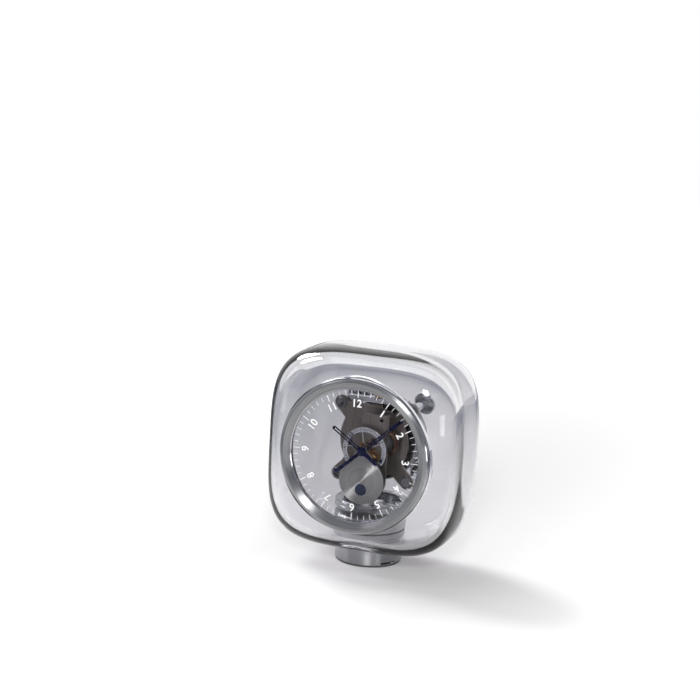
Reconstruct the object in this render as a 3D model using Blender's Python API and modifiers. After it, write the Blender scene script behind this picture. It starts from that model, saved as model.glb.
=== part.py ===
"""Atmospheric clock in a clear crystal case.

The movement hangs inside a hollow crystal body on four posts. A bezel with the dial glass closes the
front, a round foot clamps the floor of the body, and a heavy balance turns on a torsion wire. A gas
filled bellows in the rear drum breathes with the room's temperature and winds the barrel.

The origin is on the surface the clock stands on, under the middle of the case. +X is to the right of
someone facing the dial, the dial faces -Y, and +Z is up.
"""

import math

import bmesh
import bpy
from mathutils import Matrix, Vector

mm = 0.001

# Driving sizes of the case
case_width = 246 * mm
case_height = 247.5 * mm
case_depth = 146 * mm
case_wall = 9 * mm
case_floor = 12 * mm
case_lift = 19.25 * mm
corner_power = 3.93
edge_power = 4.2
inner_edge_power = 5
grid_power = 0.7

# Clearances shared by all pieces
seat_gap = 0.3 * mm
run_gap = 0.4 * mm
fit_gap = 0.1 * mm
pivot_gap = 0.35 * mm
stud_bite = 1 * mm
overrun = 2 * mm
weld_distance = 0.001 * mm

# The front window, counted from the sides of the case
window_margin = 28 * mm
opening_gap = 0.4 * mm
bezel_width = 14.4 * mm

# Thicknesses and steps of the movement, from the front of the case to the back
dial_above_middle = 1.7 * mm
glass_inset = 9.4 * mm
glass_thickness = 3 * mm
hand_thickness = 0.8 * mm
hand_spacing = 2.4 * mm
hand_to_moon_plate = 2.8 * mm
moon_plate_thickness = 1.4 * mm
moon_disc_behind = 0.9 * mm
moon_disc_thickness = 0.6 * mm
month_wheel_behind = 2.9 * mm
month_wheel_thickness = 1 * mm
motion_wheel_thickness = 1 * mm
hour_wheel_behind = 2.8 * mm
minute_wheel_behind = 1.6 * mm
bridge_behind = 1.4 * mm
bridge_thickness = 3 * mm
plate_thickness = 3.5 * mm
wire_behind = 4.5 * mm
drum_behind = 10.5 * mm
drum_to_wall = 9.7 * mm

# How the rest of the depth is shared; the rear drum takes what is left
hand_room_share = 0.233
train_room_share = 0.2717

# Foot and balance
foot_radius = 41 * mm
foot_behind_middle = 4 * mm
collar_radius = 44 * mm
collar_height = 28.4 * mm
balance_to_wall = 6 * mm
balance_height = 9 * mm

# Places on the dial side, counted from the dial axis
moon_drop = 37.3 * mm
plate_rise = 3.3 * mm
post_offset = 44.5 * mm
post_radius = 5 * mm

case_middle = case_lift + case_height / 2
dial_z = case_middle + dial_above_middle
moon_z = dial_z - moon_drop
plate_z = dial_z + plate_rise
case_front = -case_depth / 2

outer_half = Vector((case_width / 2, case_depth / 2, case_height / 2))
inner_half = Vector(
    (
        case_width / 2 - case_wall,
        case_depth / 2 - case_wall,
        (case_height - case_wall - case_floor) / 2,
    )
)
inner_middle = case_middle + (case_floor - case_wall) / 2
inner_floor = inner_middle - inner_half.z


def depth_at(half, x, z, power):
    """The distance from the middle plane to the front or back surface, at x and z from the middle."""
    face = (
        abs(x / half.x) ** corner_power + abs(z / half.z) ** corner_power
    ) ** (1 / corner_power)
    return half.y * max(0.0, 1 - face**power) ** (1 / power)


def inner_back(x, z):
    return depth_at(inner_half, x, z - inner_middle, inner_edge_power)


def outer_back(x, z):
    return depth_at(outer_half, x, z - case_middle, edge_power)


glass_front = case_front + glass_inset
glass_back = glass_front + glass_thickness
drum_back = inner_back(0, plate_z) - drum_to_wall
layers = (
    hand_spacing,
    hand_thickness,
    hand_to_moon_plate,
    moon_plate_thickness,
    moon_disc_behind,
    moon_disc_thickness,
    month_wheel_behind,
    month_wheel_thickness,
    hour_wheel_behind,
    motion_wheel_thickness,
    minute_wheel_behind,
    motion_wheel_thickness,
    bridge_behind,
    bridge_thickness,
    plate_thickness,
    drum_behind,
)
free_depth = drum_back - glass_back - sum(layers)
hand_room = hand_room_share * free_depth
train_room = train_room_share * free_depth

minute_hand_front = glass_back + hand_room
minute_hand_back = minute_hand_front + hand_thickness
hour_hand_front = minute_hand_front + hand_spacing
hour_hand_back = hour_hand_front + hand_thickness
moon_plate_front = hour_hand_back + hand_to_moon_plate
moon_plate_back = moon_plate_front + moon_plate_thickness
moon_disc_front = moon_plate_back + moon_disc_behind
moon_disc_back = moon_disc_front + moon_disc_thickness
month_wheel_front = moon_disc_back + month_wheel_behind
month_wheel_back = month_wheel_front + month_wheel_thickness
hour_wheel_front = month_wheel_back + hour_wheel_behind
hour_wheel_back = hour_wheel_front + motion_wheel_thickness
minute_wheel_front = hour_wheel_back + minute_wheel_behind
minute_wheel_back = minute_wheel_front + motion_wheel_thickness
bridge_front = minute_wheel_back + bridge_behind
bridge_back = bridge_front + bridge_thickness
plate_front = bridge_back + train_room
plate_back = plate_front + plate_thickness
wire_y = plate_back + wire_behind
drum_front = plate_back + drum_behind

collection = bpy.data.collections.new("atmospheric_clock")
cutters = bpy.data.collections.new("atmospheric_clock_cutters")


def clear_scene():
    for obj in list(bpy.data.objects):
        bpy.data.objects.remove(obj, do_unlink=True)
    bpy.context.scene.collection.children.link(collection)
    bpy.context.scene.collection.children.link(cutters)
    cutters.hide_render = True


# Helpers for materials and objects


def material(name, color, roughness, metallic=0.0, transmission=0.0, alpha=1.0):
    made = bpy.data.materials.new(name)
    made.use_nodes = True
    shader = made.node_tree.nodes["Principled BSDF"]
    shader.inputs["Base Color"].default_value = (*color, 1.0)
    shader.inputs["Roughness"].default_value = roughness
    shader.inputs["Metallic"].default_value = metallic
    shader.inputs["Transmission Weight"].default_value = transmission
    shader.inputs["Alpha"].default_value = alpha
    made.diffuse_color = (*color, alpha)
    return made


def place(name, data, finish, location=(0, 0, 0), rotation=(0, 0, 0)):
    obj = bpy.data.objects.new(name, data)
    collection.objects.link(obj)
    obj.location = location
    obj.rotation_euler = rotation
    if finish:
        obj.data.materials.append(finish)
    return obj


def smooth(obj):
    obj.data.shade_smooth()
    obj.data.set_sharp_from_angle(angle=math.radians(40))


def signed_area(points):
    pairs = zip(points, points[1:] + points[:1])
    return sum(a[0] * b[1] - b[0] * a[1] for a, b in pairs) / 2


def profile_mesh(name, profile):
    """A profile in the local XZ plane. One that starts on the axis stays open, so it closes there."""
    points = list(profile)
    if signed_area(points) > 0:
        points.reverse()
    mesh = bpy.data.meshes.new(name)
    count = len(points)
    on_axis = [i for i, (radius, _) in enumerate(points) if radius == 0]
    if on_axis:
        first = next(i for i in on_axis if points[i - 1][0] == 0)
        points = points[first:] + points[:first]
        edges = [(i, i + 1) for i in range(count - 1)]
    else:
        edges = [(i, (i + 1) % count) for i in range(count)]
    mesh.from_pydata([(radius, 0, height) for radius, height in points], edges, [])
    return mesh


def turned(name, profile, finish, location, rotation=(0, 0, 0), steps=32):
    """A closed outline of (radius, height) turned about the local Z axis."""
    obj = place(name, profile_mesh(name, profile), finish, location, rotation)
    screw = obj.modifiers.new("turn", "SCREW")
    screw.axis = "Z"
    screw.steps = steps
    screw.render_steps = steps
    screw.use_merge_vertices = True
    screw.merge_threshold = weld_distance
    screw.use_smooth_shade = True
    return obj


FACING = (math.pi / 2, 0, 0)


def turned_y(name, profile, finish, at, steps=32):
    """A turned piece on an axis along Y through at = (x, z). The profile is (radius, y) in the world."""
    return turned(
        name, [(r, -y) for r, y in profile], finish, (at[0], 0, at[1]), FACING, steps
    )


def turned_z(name, profile, finish, at, steps=32):
    """A turned piece on a vertical axis through at = (x, y). The profile is (radius, z)."""
    return turned(name, profile, finish, (at[0], at[1], 0), (0, 0, 0), steps)


def tube_outline(inner, outer, low, high):
    return [(inner, low), (outer, low), (outer, high), (inner, high)]


def circle(radius, count=24, centre=(0, 0), start=0.0):
    return [
        (
            centre[0] + radius * math.sin(start + 2 * math.pi * i / count),
            centre[1] + radius * math.cos(start + 2 * math.pi * i / count),
        )
        for i in range(count)
    ]


def arc(radius, start, end, count, centre=(0, 0)):
    """Points clockwise from 12 o'clock, angles in radians."""
    return [
        (
            centre[0] + radius * math.sin(start + (end - start) * i / count),
            centre[1] + radius * math.cos(start + (end - start) * i / count),
        )
        for i in range(count + 1)
    ]


def stadium(low, high, radius, count=10):
    """The outline round two points, with round ends."""
    axis = Vector(high) - Vector(low)
    turn = math.atan2(axis.x, axis.y)
    return arc(radius, turn - math.pi / 2, turn + math.pi / 2, count, high) + arc(
        radius, turn + math.pi / 2, turn + 3 * math.pi / 2, count, low
    )


def flat(name, outline, holes, front, back, finish, at=(0, 0), turn=0.0):
    """A flat piece in the XZ plane, turned clockwise about at, from plane front to plane back."""
    curve = bpy.data.curves.new(name, "CURVE")
    curve.dimensions = "2D"
    curve.fill_mode = "BOTH"
    curve.extrude = (back - front) / 2
    for points in [outline] + list(holes):
        spline = curve.splines.new("POLY")
        spline.points.add(len(points) - 1)
        for point, (x, z) in zip(spline.points, points):
            point.co = (x, z, 0, 1)
        spline.use_cyclic_u = True
    middle = (front + back) / 2
    rotation = (math.pi / 2, turn, 0)
    return place(name, curve, finish, (at[0], middle, at[1]), rotation)


def evaluated_mesh(obj):
    graph = bpy.context.evaluated_depsgraph_get()
    return bpy.data.meshes.new_from_object(obj.evaluated_get(graph))


def welded(obj):
    """The same piece as a mesh with its caps joined, so that a Boolean can work on it."""
    bpy.context.view_layer.update()
    shape = bmesh.new()
    shape.from_mesh(evaluated_mesh(obj))
    bmesh.ops.remove_doubles(shape, verts=shape.verts, dist=weld_distance)
    mesh = bpy.data.meshes.new(obj.name)
    shape.to_mesh(mesh)
    shape.free()
    name, matrix, finish = obj.name, obj.matrix_world.copy(), obj.data.materials[0]
    bpy.data.objects.remove(obj, do_unlink=True)
    made = place(name, mesh, finish)
    made.matrix_world = matrix
    mesh.materials.clear()
    mesh.materials.append(finish)
    return made


def cutter_object(name, shape, location=(0, 0, 0)):
    mesh = bpy.data.meshes.new(name)
    bmesh.ops.recalc_face_normals(shape, faces=shape.faces)
    shape.to_mesh(mesh)
    shape.free()
    obj = bpy.data.objects.new(name, mesh)
    cutters.objects.link(obj)
    obj.location = location
    obj.hide_render = True
    obj.display_type = "WIRE"
    return obj


def add_cylinder(shape, radius, low, high, axis, steps=48):
    """Adds a cylinder between two points to a bmesh; axis is the direction from low to high."""
    turn = Vector((0, 0, 1)).rotation_difference(Vector(axis)).to_matrix().to_4x4()
    middle = (Vector(low) + Vector(high)) / 2
    bmesh.ops.create_cone(
        shape,
        cap_ends=True,
        segments=steps,
        radius1=radius,
        radius2=radius,
        depth=(Vector(high) - Vector(low)).length,
        matrix=Matrix.Translation(middle) @ turn,
    )


def cut(obj, cutter):
    boolean = obj.modifiers.new("cut_" + cutter.name, "BOOLEAN")
    boolean.operation = "DIFFERENCE"
    boolean.object = cutter


def join(obj, helper):
    boolean = obj.modifiers.new("join_" + helper.name, "BOOLEAN")
    boolean.operation = "UNION"
    boolean.object = helper


def studs(obj, name, radius, front, back, places, steps=10):
    """Joins round studs along Y to a piece, one at each place (x, z)."""
    shape = bmesh.new()
    for x, z in places:
        add_cylinder(shape, radius, (x, front, z), (x, back, z), (0, 1, 0), steps)
    join(obj, cutter_object(name, shape))


# Body of the case


def superellipsoid(half, segments, power):
    """A cube whose points are moved out to |x/a|^p + |z/c|^p, raised to q/p, plus |y/b|^q = 1."""
    shape = bmesh.new()
    bmesh.ops.create_cube(shape, size=2)
    bmesh.ops.subdivide_edges(
        shape, edges=shape.edges, cuts=segments - 1, use_grid_fill=True
    )
    for vert in shape.verts:
        vert.co = Vector(math.copysign(abs(value) ** grid_power, value) for value in vert.co)
        x, y, z = (abs(value) for value in vert.co)
        face = (x**corner_power + z**corner_power) ** (1 / corner_power)
        reach = (face**power + y**power) ** (1 / power)
        vert.co = Vector(a * b for a, b in zip(vert.co / reach, half))
    return shape


clear_scene()

crystal = material("clear_crystal", (0.86, 0.87, 0.92), 0.02, 0.0, 1.0, 0.3)
window_glass = material("dial_glass", (0.93, 0.94, 0.95), 0.02, 0.0, 1.0, 0.3)
satin_steel = material("satin_steel", (0.62, 0.62, 0.62), 0.32, 1.0)
polished_steel = material("polished_steel", (0.78, 0.78, 0.79), 0.08, 1.0)
plate_nickel = material("grained_nickel", (0.42, 0.41, 0.39), 0.38, 1.0)
blued_steel = material("blued_steel", (0.02, 0.03, 0.22), 0.25, 1.0)
silver_dial = material("silvered_brass", (0.66, 0.66, 0.64), 0.3, 1.0)
moon_blue = material("moon_blue_lacquer", (0.01, 0.04, 0.13), 0.3)
gilt_brass = material("gilt_brass", (0.72, 0.49, 0.22), 0.28, 1.0)
month_white = material("month_wheel_lacquer", (0.78, 0.78, 0.8), 0.35, 0.4)
black_rubber = material("black_rubber", (0.03, 0.03, 0.03), 0.7)
grey_felt = material("grey_felt", (0.2, 0.2, 0.2), 0.95)
spring_steel = material("spring_steel", (0.5, 0.5, 0.52), 0.25, 1.0)

# Centre distances and gear ratios of the train, and the places that follow from them

train_turns = 2
barrel_turns = 6
cannon_turns = 3
hour_turns = 4
barrel_centres = 19.9 * mm
barrel_turn = math.radians(70)
third_centres = 21.4 * mm
third_turn = math.radians(165)
escape_centres = 13.9 * mm
motion_centres = 12.3 * mm
motion_turn = math.radians(135)


def from_dial(distance, turn):
    """The place at a distance from the dial axis, clockwise from 12 o'clock."""
    return (distance * math.sin(turn), dial_z + distance * math.cos(turn))


def driver_radius(centres, ratio):
    """Radius of the larger of two meshed wheels, less half the gap that keeps them apart."""
    return centres * ratio / (ratio + 1) - run_gap / 2


def driven_radius(centres, ratio):
    return centres / (ratio + 1) - run_gap / 2


barrel_at = from_dial(barrel_centres, barrel_turn)
third_at = from_dial(third_centres, third_turn)
motion_at = from_dial(motion_centres, motion_turn)

# Foot, under the floor of the case

foot_at = (0, foot_behind_middle)
pad_height = 1.9 * mm
pad_inset = 1 * mm
foot_seat_rise = 4.25 * mm
foot_seat = case_lift + foot_seat_rise
foot_seat_margin = 1 * mm
gasket_height = 0.9 * mm
gasket_inner = 34.5 * mm
gasket_outer = 39.5 * mm
neck_radius = 32.6 * mm
cavity_radius = 35 * mm
foot_edge = 0.6 * mm
base_plate_height = 1.3 * mm
foot_bottom = pad_height + seat_gap
gasket_bottom = foot_seat - seat_gap - gasket_height
foot_top = gasket_bottom - seat_gap
collar_bottom = inner_floor + seat_gap + fit_gap
collar_top = collar_bottom + collar_height
neck_top = collar_bottom - seat_gap
lock_at = (0, wire_y)
stem_radius = 5 * mm
stem_bore = stem_radius + run_gap
screw_circle = 26 * mm
foot_screw_radius = 2.2 * mm
foot_screw_head = 4 * mm
foot_screw_head_height = 3 * mm
foot_screw_grip = 14 * mm
slot_start = math.radians(43)
slot_end = math.radians(73)
lever_angle = math.radians(66)
lever_low = foot_bottom + base_plate_height + run_gap
lever_thickness = 1.6 * mm
lever_high = lever_low + lever_thickness
slot_low = lever_low - seat_gap
slot_high = lever_high + run_gap
lever_hub_radius = 8 * mm
lever_half_width = 2.2 * mm
lever_proud = 1.6 * mm
cam_height = 1.8 * mm
cam_top = lever_high + cam_height
cavity_top = cam_top + seat_gap
cam_radius = 6 * mm
cup_radius = 11 * mm
cup_height = 3.7 * mm
cup_rise = 1.3 * mm
cup_recess_depth = 3.5 * mm
groove_height = 2.6 * mm
groove_depth = 2.2 * mm
groove_above = 9 * mm

turned_z(
    "base_pad",
    tube_outline(0, foot_radius - pad_inset, 0, pad_height),
    grey_felt,
    foot_at,
    28,
)
turned_z(
    "base_plate",
    tube_outline(0, cavity_radius - run_gap, foot_bottom, foot_bottom + base_plate_height),
    satin_steel,
    foot_at,
    28,
)
foot_housing = turned_z(
    "foot_housing",
    [
        (0, cavity_top),
        (cavity_radius, cavity_top),
        (cavity_radius, foot_bottom),
        (foot_radius - foot_edge, foot_bottom),
        (foot_radius, foot_bottom + foot_edge),
        (foot_radius, foot_top - foot_edge),
        (foot_radius - foot_edge, foot_top),
        (neck_radius, foot_top),
        (neck_radius, neck_top),
        (0, neck_top),
    ],
    satin_steel,
    foot_at,
    32,
)
turned_z(
    "base_gasket",
    tube_outline(gasket_inner, gasket_outer, gasket_bottom, gasket_bottom + gasket_height),
    black_rubber,
    foot_at,
    28,
)

groove_low = collar_bottom + groove_above
inner_collar = turned_z(
    "inner_collar",
    [
        (0, collar_bottom),
        (collar_radius, collar_bottom),
        (collar_radius, groove_low),
        (collar_radius - groove_depth, groove_low),
        (collar_radius - groove_depth, groove_low + groove_height),
        (collar_radius, groove_low + groove_height),
        (collar_radius, collar_top - foot_edge),
        (collar_radius - foot_edge, collar_top),
        (0, collar_top),
    ],
    satin_steel,
    foot_at,
    32,
)

# The stem of the balance lock and the foot's screws pass through the foot and the collar
screw_places = [
    (
        foot_at[0] + screw_circle * math.cos(angle),
        foot_at[1] + screw_circle * math.sin(angle),
    )
    for angle in (math.radians(60), math.radians(180), math.radians(300))
]
screw_head_low = cavity_top + seat_gap
screw_head_high = screw_head_low + foot_screw_head_height
screw_end = collar_bottom + foot_screw_grip

drill = bmesh.new()
add_cylinder(
    drill, stem_bore, (*lock_at, foot_bottom), (*lock_at, collar_top + overrun), (0, 0, 1), 16
)
foot_bores = cutter_object("stem_bore", drill)
drill = bmesh.new()
for place_xy in screw_places:
    add_cylinder(
        drill,
        foot_screw_radius + seat_gap,
        (*place_xy, cavity_top),
        (*place_xy, screw_end + seat_gap),
        (0, 0, 1),
        10,
    )
screw_bores = cutter_object("screw_bores", drill)
drill = bmesh.new()
for place_xy in screw_places:
    add_cylinder(
        drill,
        foot_screw_head + seat_gap,
        (*place_xy, foot_bottom + base_plate_height),
        (*place_xy, screw_head_high + seat_gap),
        (0, 0, 1),
        10,
    )
head_bores = cutter_object("screw_head_bores", drill)
drill = bmesh.new()
add_cylinder(
    drill,
    cup_radius + run_gap,
    (*lock_at, collar_top - cup_recess_depth),
    (*lock_at, collar_top + overrun),
    (0, 0, 1),
    24,
)
cup_recess = cutter_object("cup_recess", drill)

# The lever's slot is a thin sector that sweeps the arc the lever covers
sector = bmesh.new()
sector_low = [sector.verts.new((foot_at[0], foot_at[1], slot_low))]
for x, y in arc(foot_radius + overrun, slot_start, slot_end, 6):
    sector_low.append(sector.verts.new((foot_at[0] + x, foot_at[1] - y, slot_low)))
floor_face = sector.faces.new(sector_low)
raised = bmesh.ops.extrude_face_region(sector, geom=[floor_face])
bmesh.ops.translate(
    sector,
    verts=[item for item in raised["geom"] if isinstance(item, bmesh.types.BMVert)],
    vec=(0, 0, slot_high - slot_low),
)
lever_slot = cutter_object("lever_slot", sector)

for tool in (foot_bores, screw_bores, head_bores, lever_slot):
    cut(foot_housing, tool)
for tool in (foot_bores, screw_bores, cup_recess):
    cut(inner_collar, tool)

for number, place_xy in enumerate(screw_places, 1):
    turned_z(
        "foot_screw_%d" % number,
        [
            (0, screw_head_low),
            (foot_screw_head, screw_head_low),
            (foot_screw_head, screw_head_high),
            (foot_screw_radius, screw_head_high),
            (foot_screw_radius, screw_end),
            (0, screw_end),
        ],
        polished_steel,
        place_xy,
        10,
    )

# Balance lock: the lever's hub carries a cam that lifts the stem, whose cup holds the balance
rim_point = Vector(
    (
        foot_at[0] + foot_radius * math.sin(lever_angle),
        foot_at[1] - foot_radius * math.cos(lever_angle),
    )
)
lever_reach = (rim_point - Vector(lock_at)).length + lever_proud
lever_heading = math.atan2(rim_point.x - lock_at[0], lock_at[1] - rim_point.y)
lever_shape = bmesh.new()
add_cylinder(
    lever_shape, lever_hub_radius, (0, 0, lever_low), (0, 0, lever_high), (0, 0, 1), 16
)
lever_hub_mesh = bpy.data.meshes.new("lock_lever")
lever_shape.to_mesh(lever_hub_mesh)
lever_shape.free()
lock_lever = place(
    "lock_lever", lever_hub_mesh, polished_steel, (*lock_at, 0), (0, 0, lever_heading)
)
arm = bmesh.new()
bmesh.ops.create_cube(arm, size=1)
bmesh.ops.scale(arm, vec=(2 * lever_half_width, lever_reach, lever_thickness), verts=arm.verts)
bmesh.ops.translate(
    arm, vec=(0, -lever_reach / 2, (lever_low + lever_high) / 2), verts=arm.verts
)
lever_arm = cutter_object("lock_lever_arm", arm, (*lock_at, 0))
lever_arm.rotation_euler = (0, 0, lever_heading)
join(lock_lever, lever_arm)
cam = bmesh.new()
add_cylinder(cam, cam_radius, (0, 0, lever_low), (0, 0, cam_top), (0, 0, 1), 12)
lever_cam = cutter_object("lock_lever_cam", cam, (*lock_at, 0))
join(lock_lever, lever_cam)

cup_top = collar_top + cup_rise
turned_z(
    "lock_stem",
    [
        (0, cavity_top),
        (stem_radius, cavity_top),
        (stem_radius, cup_top - cup_height),
        (cup_radius, cup_top - cup_height),
        (cup_radius, cup_top),
        (0, cup_top),
    ],
    satin_steel,
    lock_at,
    16,
)

# Balance on its torsion wire

hub_lift = 1.8 * mm
flange_radius = 19 * mm
flange_height = 3 * mm
staff_radius = 1.5 * mm
boss_radius = 5 * mm
boss_height = 14 * mm
ring_band = 11 * mm
web_thickness = 1.5 * mm
web_hole_radius = 7.5 * mm
web_hole_count = 6
roller_radius = 4 * mm
roller_thickness = 1.2 * mm
staff_above_roller = 3 * mm
fork_reach = 7.6 * mm
pallet_drop = 12 * mm
ring_edge = 0.6 * mm

hub_bottom = cup_top + hub_lift
flange_top = hub_bottom + flange_height
ring_bottom = flange_top + seat_gap
ring_top = ring_bottom + balance_height
balance_radius = inner_back(0, (ring_bottom + ring_top) / 2) - wire_y - balance_to_wall
ring_inner = balance_radius - ring_band
boss_top = flange_top + boss_height
escape_at = (
    0,
    third_at[1] + math.sqrt(escape_centres**2 - third_at[0] ** 2),
)
pallet_at = (0, escape_at[1] - pallet_drop)
pin_length = 2.6 * mm
pin_top = pallet_at[1] - fork_reach - run_gap
roller_top = pin_top - pin_length
staff_top = roller_top + staff_above_roller

turned_z(
    "balance_hub",
    [
        (0, hub_bottom),
        (flange_radius, hub_bottom),
        (flange_radius, flange_top),
        (boss_radius, flange_top),
        (boss_radius, boss_top),
        (staff_radius, boss_top),
        (staff_radius, staff_top),
        (0, staff_top),
    ],
    satin_steel,
    lock_at,
    24,
)
balance_ring = turned_z(
    "balance_ring",
    [
        (boss_radius + seat_gap, ring_bottom),
        (balance_radius - ring_edge, ring_bottom),
        (balance_radius, ring_bottom + ring_edge),
        (balance_radius, ring_top - ring_edge),
        (balance_radius - ring_edge, ring_top),
        (ring_inner, ring_top),
        (ring_inner, ring_bottom + web_thickness),
        (boss_radius + seat_gap, ring_bottom + web_thickness),
    ],
    polished_steel,
    lock_at,
    32,
)
web_hole_circle = (ring_inner + boss_radius) / 2
drill = bmesh.new()
for index in range(web_hole_count):
    angle = 2 * math.pi * index / web_hole_count
    hole = (
        lock_at[0] + web_hole_circle * math.sin(angle),
        lock_at[1] + web_hole_circle * math.cos(angle),
    )
    add_cylinder(
        drill,
        web_hole_radius,
        (*hole, ring_bottom - overrun),
        (*hole, ring_bottom + web_thickness + overrun),
        (0, 0, 1),
        10,
    )
cut(balance_ring, cutter_object("web_holes", drill))

# The roller carries the impulse pin in front of the staff
pin_radius = 0.6 * mm
roller_bottom = roller_top - roller_thickness
impulse_roller = turned_z(
    "impulse_roller",
    tube_outline(staff_radius + fit_gap, roller_radius, roller_bottom, roller_top),
    gilt_brass,
    lock_at,
    14,
)
pin_at = (lock_at[0], lock_at[1] - roller_radius + 2 * pin_radius)
pin_shape = bmesh.new()
add_cylinder(pin_shape, pin_radius, (*pin_at, roller_bottom + fit_gap), (*pin_at, pin_top), (0, 0, 1), 8)
join(impulse_roller, cutter_object("impulse_pin", pin_shape))

# Suspension of the wire above the plate

beam_to_post = 0.5 * mm
suspension_low = 51 * mm
suspension_height = 6.5 * mm
suspension_depth = 8.4 * mm
block_radius = 2.4 * mm
block_head = 4.6 * mm
block_head_height = 1.8 * mm
block_below = 3 * mm
wire_radius = 0.5 * mm
index_length = 24 * mm
index_half_width = 1.3 * mm
index_thickness = 1.2 * mm
suspension_z = dial_z + suspension_low
suspension_top = suspension_z + suspension_height
suspension_front = plate_back + seat_gap
suspension_width = 2 * (post_offset - post_radius - beam_to_post)

beam = bmesh.new()
bmesh.ops.create_cube(beam, size=1)
bmesh.ops.scale(
    beam, vec=(suspension_width, suspension_depth, suspension_height), verts=beam.verts
)
beam_mesh = bpy.data.meshes.new("suspension_bridge")
beam.to_mesh(beam_mesh)
beam.free()
suspension_bridge = place(
    "suspension_bridge",
    beam_mesh,
    polished_steel,
    (0, suspension_front + suspension_depth / 2, (suspension_z + suspension_top) / 2),
)
drill = bmesh.new()
add_cylinder(
    drill,
    block_radius + run_gap,
    (0, wire_y, suspension_z - overrun),
    (0, wire_y, suspension_top + overrun),
    (0, 0, 1),
    14,
)
cut(suspension_bridge, cutter_object("block_bore", drill))

block_low = suspension_z - block_below
head_low = suspension_top + seat_gap
head_top = head_low + block_head_height
turned_z(
    "suspension_block",
    [
        (0, block_low),
        (block_radius, block_low),
        (block_radius, head_low),
        (block_head, head_low),
        (block_head, head_top),
        (0, head_top),
    ],
    gilt_brass,
    lock_at,
    14,
)
index_low = head_top + seat_gap
index_outline = stadium((0, 0), (-index_length, 0), index_half_width, 6)
index_curve = bpy.data.curves.new("regulator_index", "CURVE")
index_curve.dimensions = "2D"
index_curve.fill_mode = "BOTH"
index_curve.extrude = index_thickness / 2
index_spline = index_curve.splines.new("POLY")
index_spline.points.add(len(index_outline) - 1)
for point, (x, y) in zip(index_spline.points, index_outline):
    point.co = (x, y, 0, 1)
index_spline.use_cyclic_u = True
place(
    "regulator_index",
    index_curve,
    polished_steel,
    (lock_at[0], lock_at[1], index_low + index_thickness / 2),
)
turned_z(
    "torsion_wire",
    tube_outline(0, wire_radius, staff_top + seat_gap, block_low - seat_gap),
    spring_steel,
    lock_at,
    8,
)

# Front window: bezel, dial glass, retaining ring and seal

dial_at = (0, dial_z)
opening_radius = min(case_width, case_height) / 2 - window_margin
bezel_radius = opening_radius - opening_gap
bezel_bore = bezel_radius - bezel_width
bezel_lip = 2.45 * mm
bezel_lip_chamfer = 1.4 * mm
ridge_from_edge = 6.6 * mm
ridge_radius = bezel_radius - ridge_from_edge
ridge_inset = 0.1 * mm
ridge_fall = 0.9 * mm
shoulder_from_edge = 2 * mm
shoulder_fall = 1.6 * mm
edge_fall = 4 * mm
flange_inset = 6.6 * mm
spigot_from_edge = 2.4 * mm
spigot_radius = bezel_radius - spigot_from_edge
spigot_end = 15.4 * mm
rebate_width = 4.6 * mm
glass_rebate = bezel_bore + rebate_width
glass_radius = glass_rebate - run_gap
retainer_width = 2.6 * mm
retainer_thickness = 2 * mm
seal_squeeze = 0.5 * mm
seal_radius = opening_radius - seal_squeeze
seal_length = 6 * mm

rebate_front = glass_front - seat_gap - fit_gap
lip_front = rebate_front - bezel_lip
turned_y(
    "bezel",
    [
        (bezel_bore, rebate_front),
        (bezel_bore, lip_front),
        (bezel_bore + bezel_lip_chamfer, lip_front - bezel_lip_chamfer),
        (ridge_radius - ridge_fall, case_front + ridge_fall),
        (ridge_radius + ridge_fall, case_front + ridge_inset),
        (bezel_radius - shoulder_from_edge, case_front + shoulder_fall),
        (bezel_radius, case_front + edge_fall),
        (bezel_radius, case_front + flange_inset),
        (spigot_radius, case_front + flange_inset),
        (spigot_radius, case_front + spigot_end),
        (glass_rebate, case_front + spigot_end),
        (glass_rebate, rebate_front),
    ],
    satin_steel,
    dial_at,
    40,
)
turned_y(
    "dial_glass",
    tube_outline(0, glass_radius, glass_front, glass_back),
    window_glass,
    dial_at,
    40,
)
retainer_front = glass_back + seat_gap
turned_y(
    "glass_retainer",
    tube_outline(
        glass_radius - retainer_width,
        glass_radius,
        retainer_front,
        retainer_front + retainer_thickness,
    ),
    satin_steel,
    dial_at,
    40,
)
seal_front = case_front + flange_inset + seat_gap
turned_y(
    "window_seal",
    tube_outline(spigot_radius + seat_gap, seal_radius, seal_front, seal_front + seal_length),
    black_rubber,
    dial_at,
    40,
)

# Hands

minute_turn = math.radians(48)
hour_turn = math.radians(304)
hand_bore_radius = 1.9 * mm
minute_tip_clear = 12.7 * mm
minute_tip = bezel_bore - minute_tip_clear
minute_tail = 43 * mm
minute_half_width = 2.1 * mm
minute_boss = 4.6 * mm
hour_tip = 46.6 * mm
hour_tail = 25 * mm
hour_half_width = 2.5 * mm
hour_bore_radius = 3.4 * mm
hour_boss = 5.8 * mm
minute_rail = 1.5 * mm
hour_rail = 1.65 * mm
slot_from_boss = 2 * mm
slot_to_tip = 3 * mm
cross_from_tip = 18.5 * mm
cross_slot_gap = 1.4 * mm
cross_half_width = 3.3 * mm
cross_half_height = 0.8 * mm


def hand_outline(tip, tail, half_width, boss, cross=None):
    """A straight bar with round ends and a round boss on the axis at (0, 0), and a cross bar if asked."""
    bite = math.asin(half_width / boss)
    right = left = []
    if cross:
        right = [
            (half_width, cross + cross_half_height),
            (cross_half_width, cross + cross_half_height),
            (cross_half_width, cross - cross_half_height),
            (half_width, cross - cross_half_height),
        ]
        left = [(-x, z) for x, z in reversed(right)]
    return (
        arc(half_width, -math.pi / 2, math.pi / 2, 6, (0, tip - half_width))
        + right
        + arc(boss, bite, math.pi - bite, 8)
        + arc(half_width, math.pi / 2, 3 * math.pi / 2, 6, (0, half_width - tail))
        + arc(boss, math.pi + bite, 2 * math.pi - bite, 8)
        + left
    )


def slot(low, high, half_width):
    return [(-half_width, low), (-half_width, high), (half_width, high), (half_width, low)]


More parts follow.
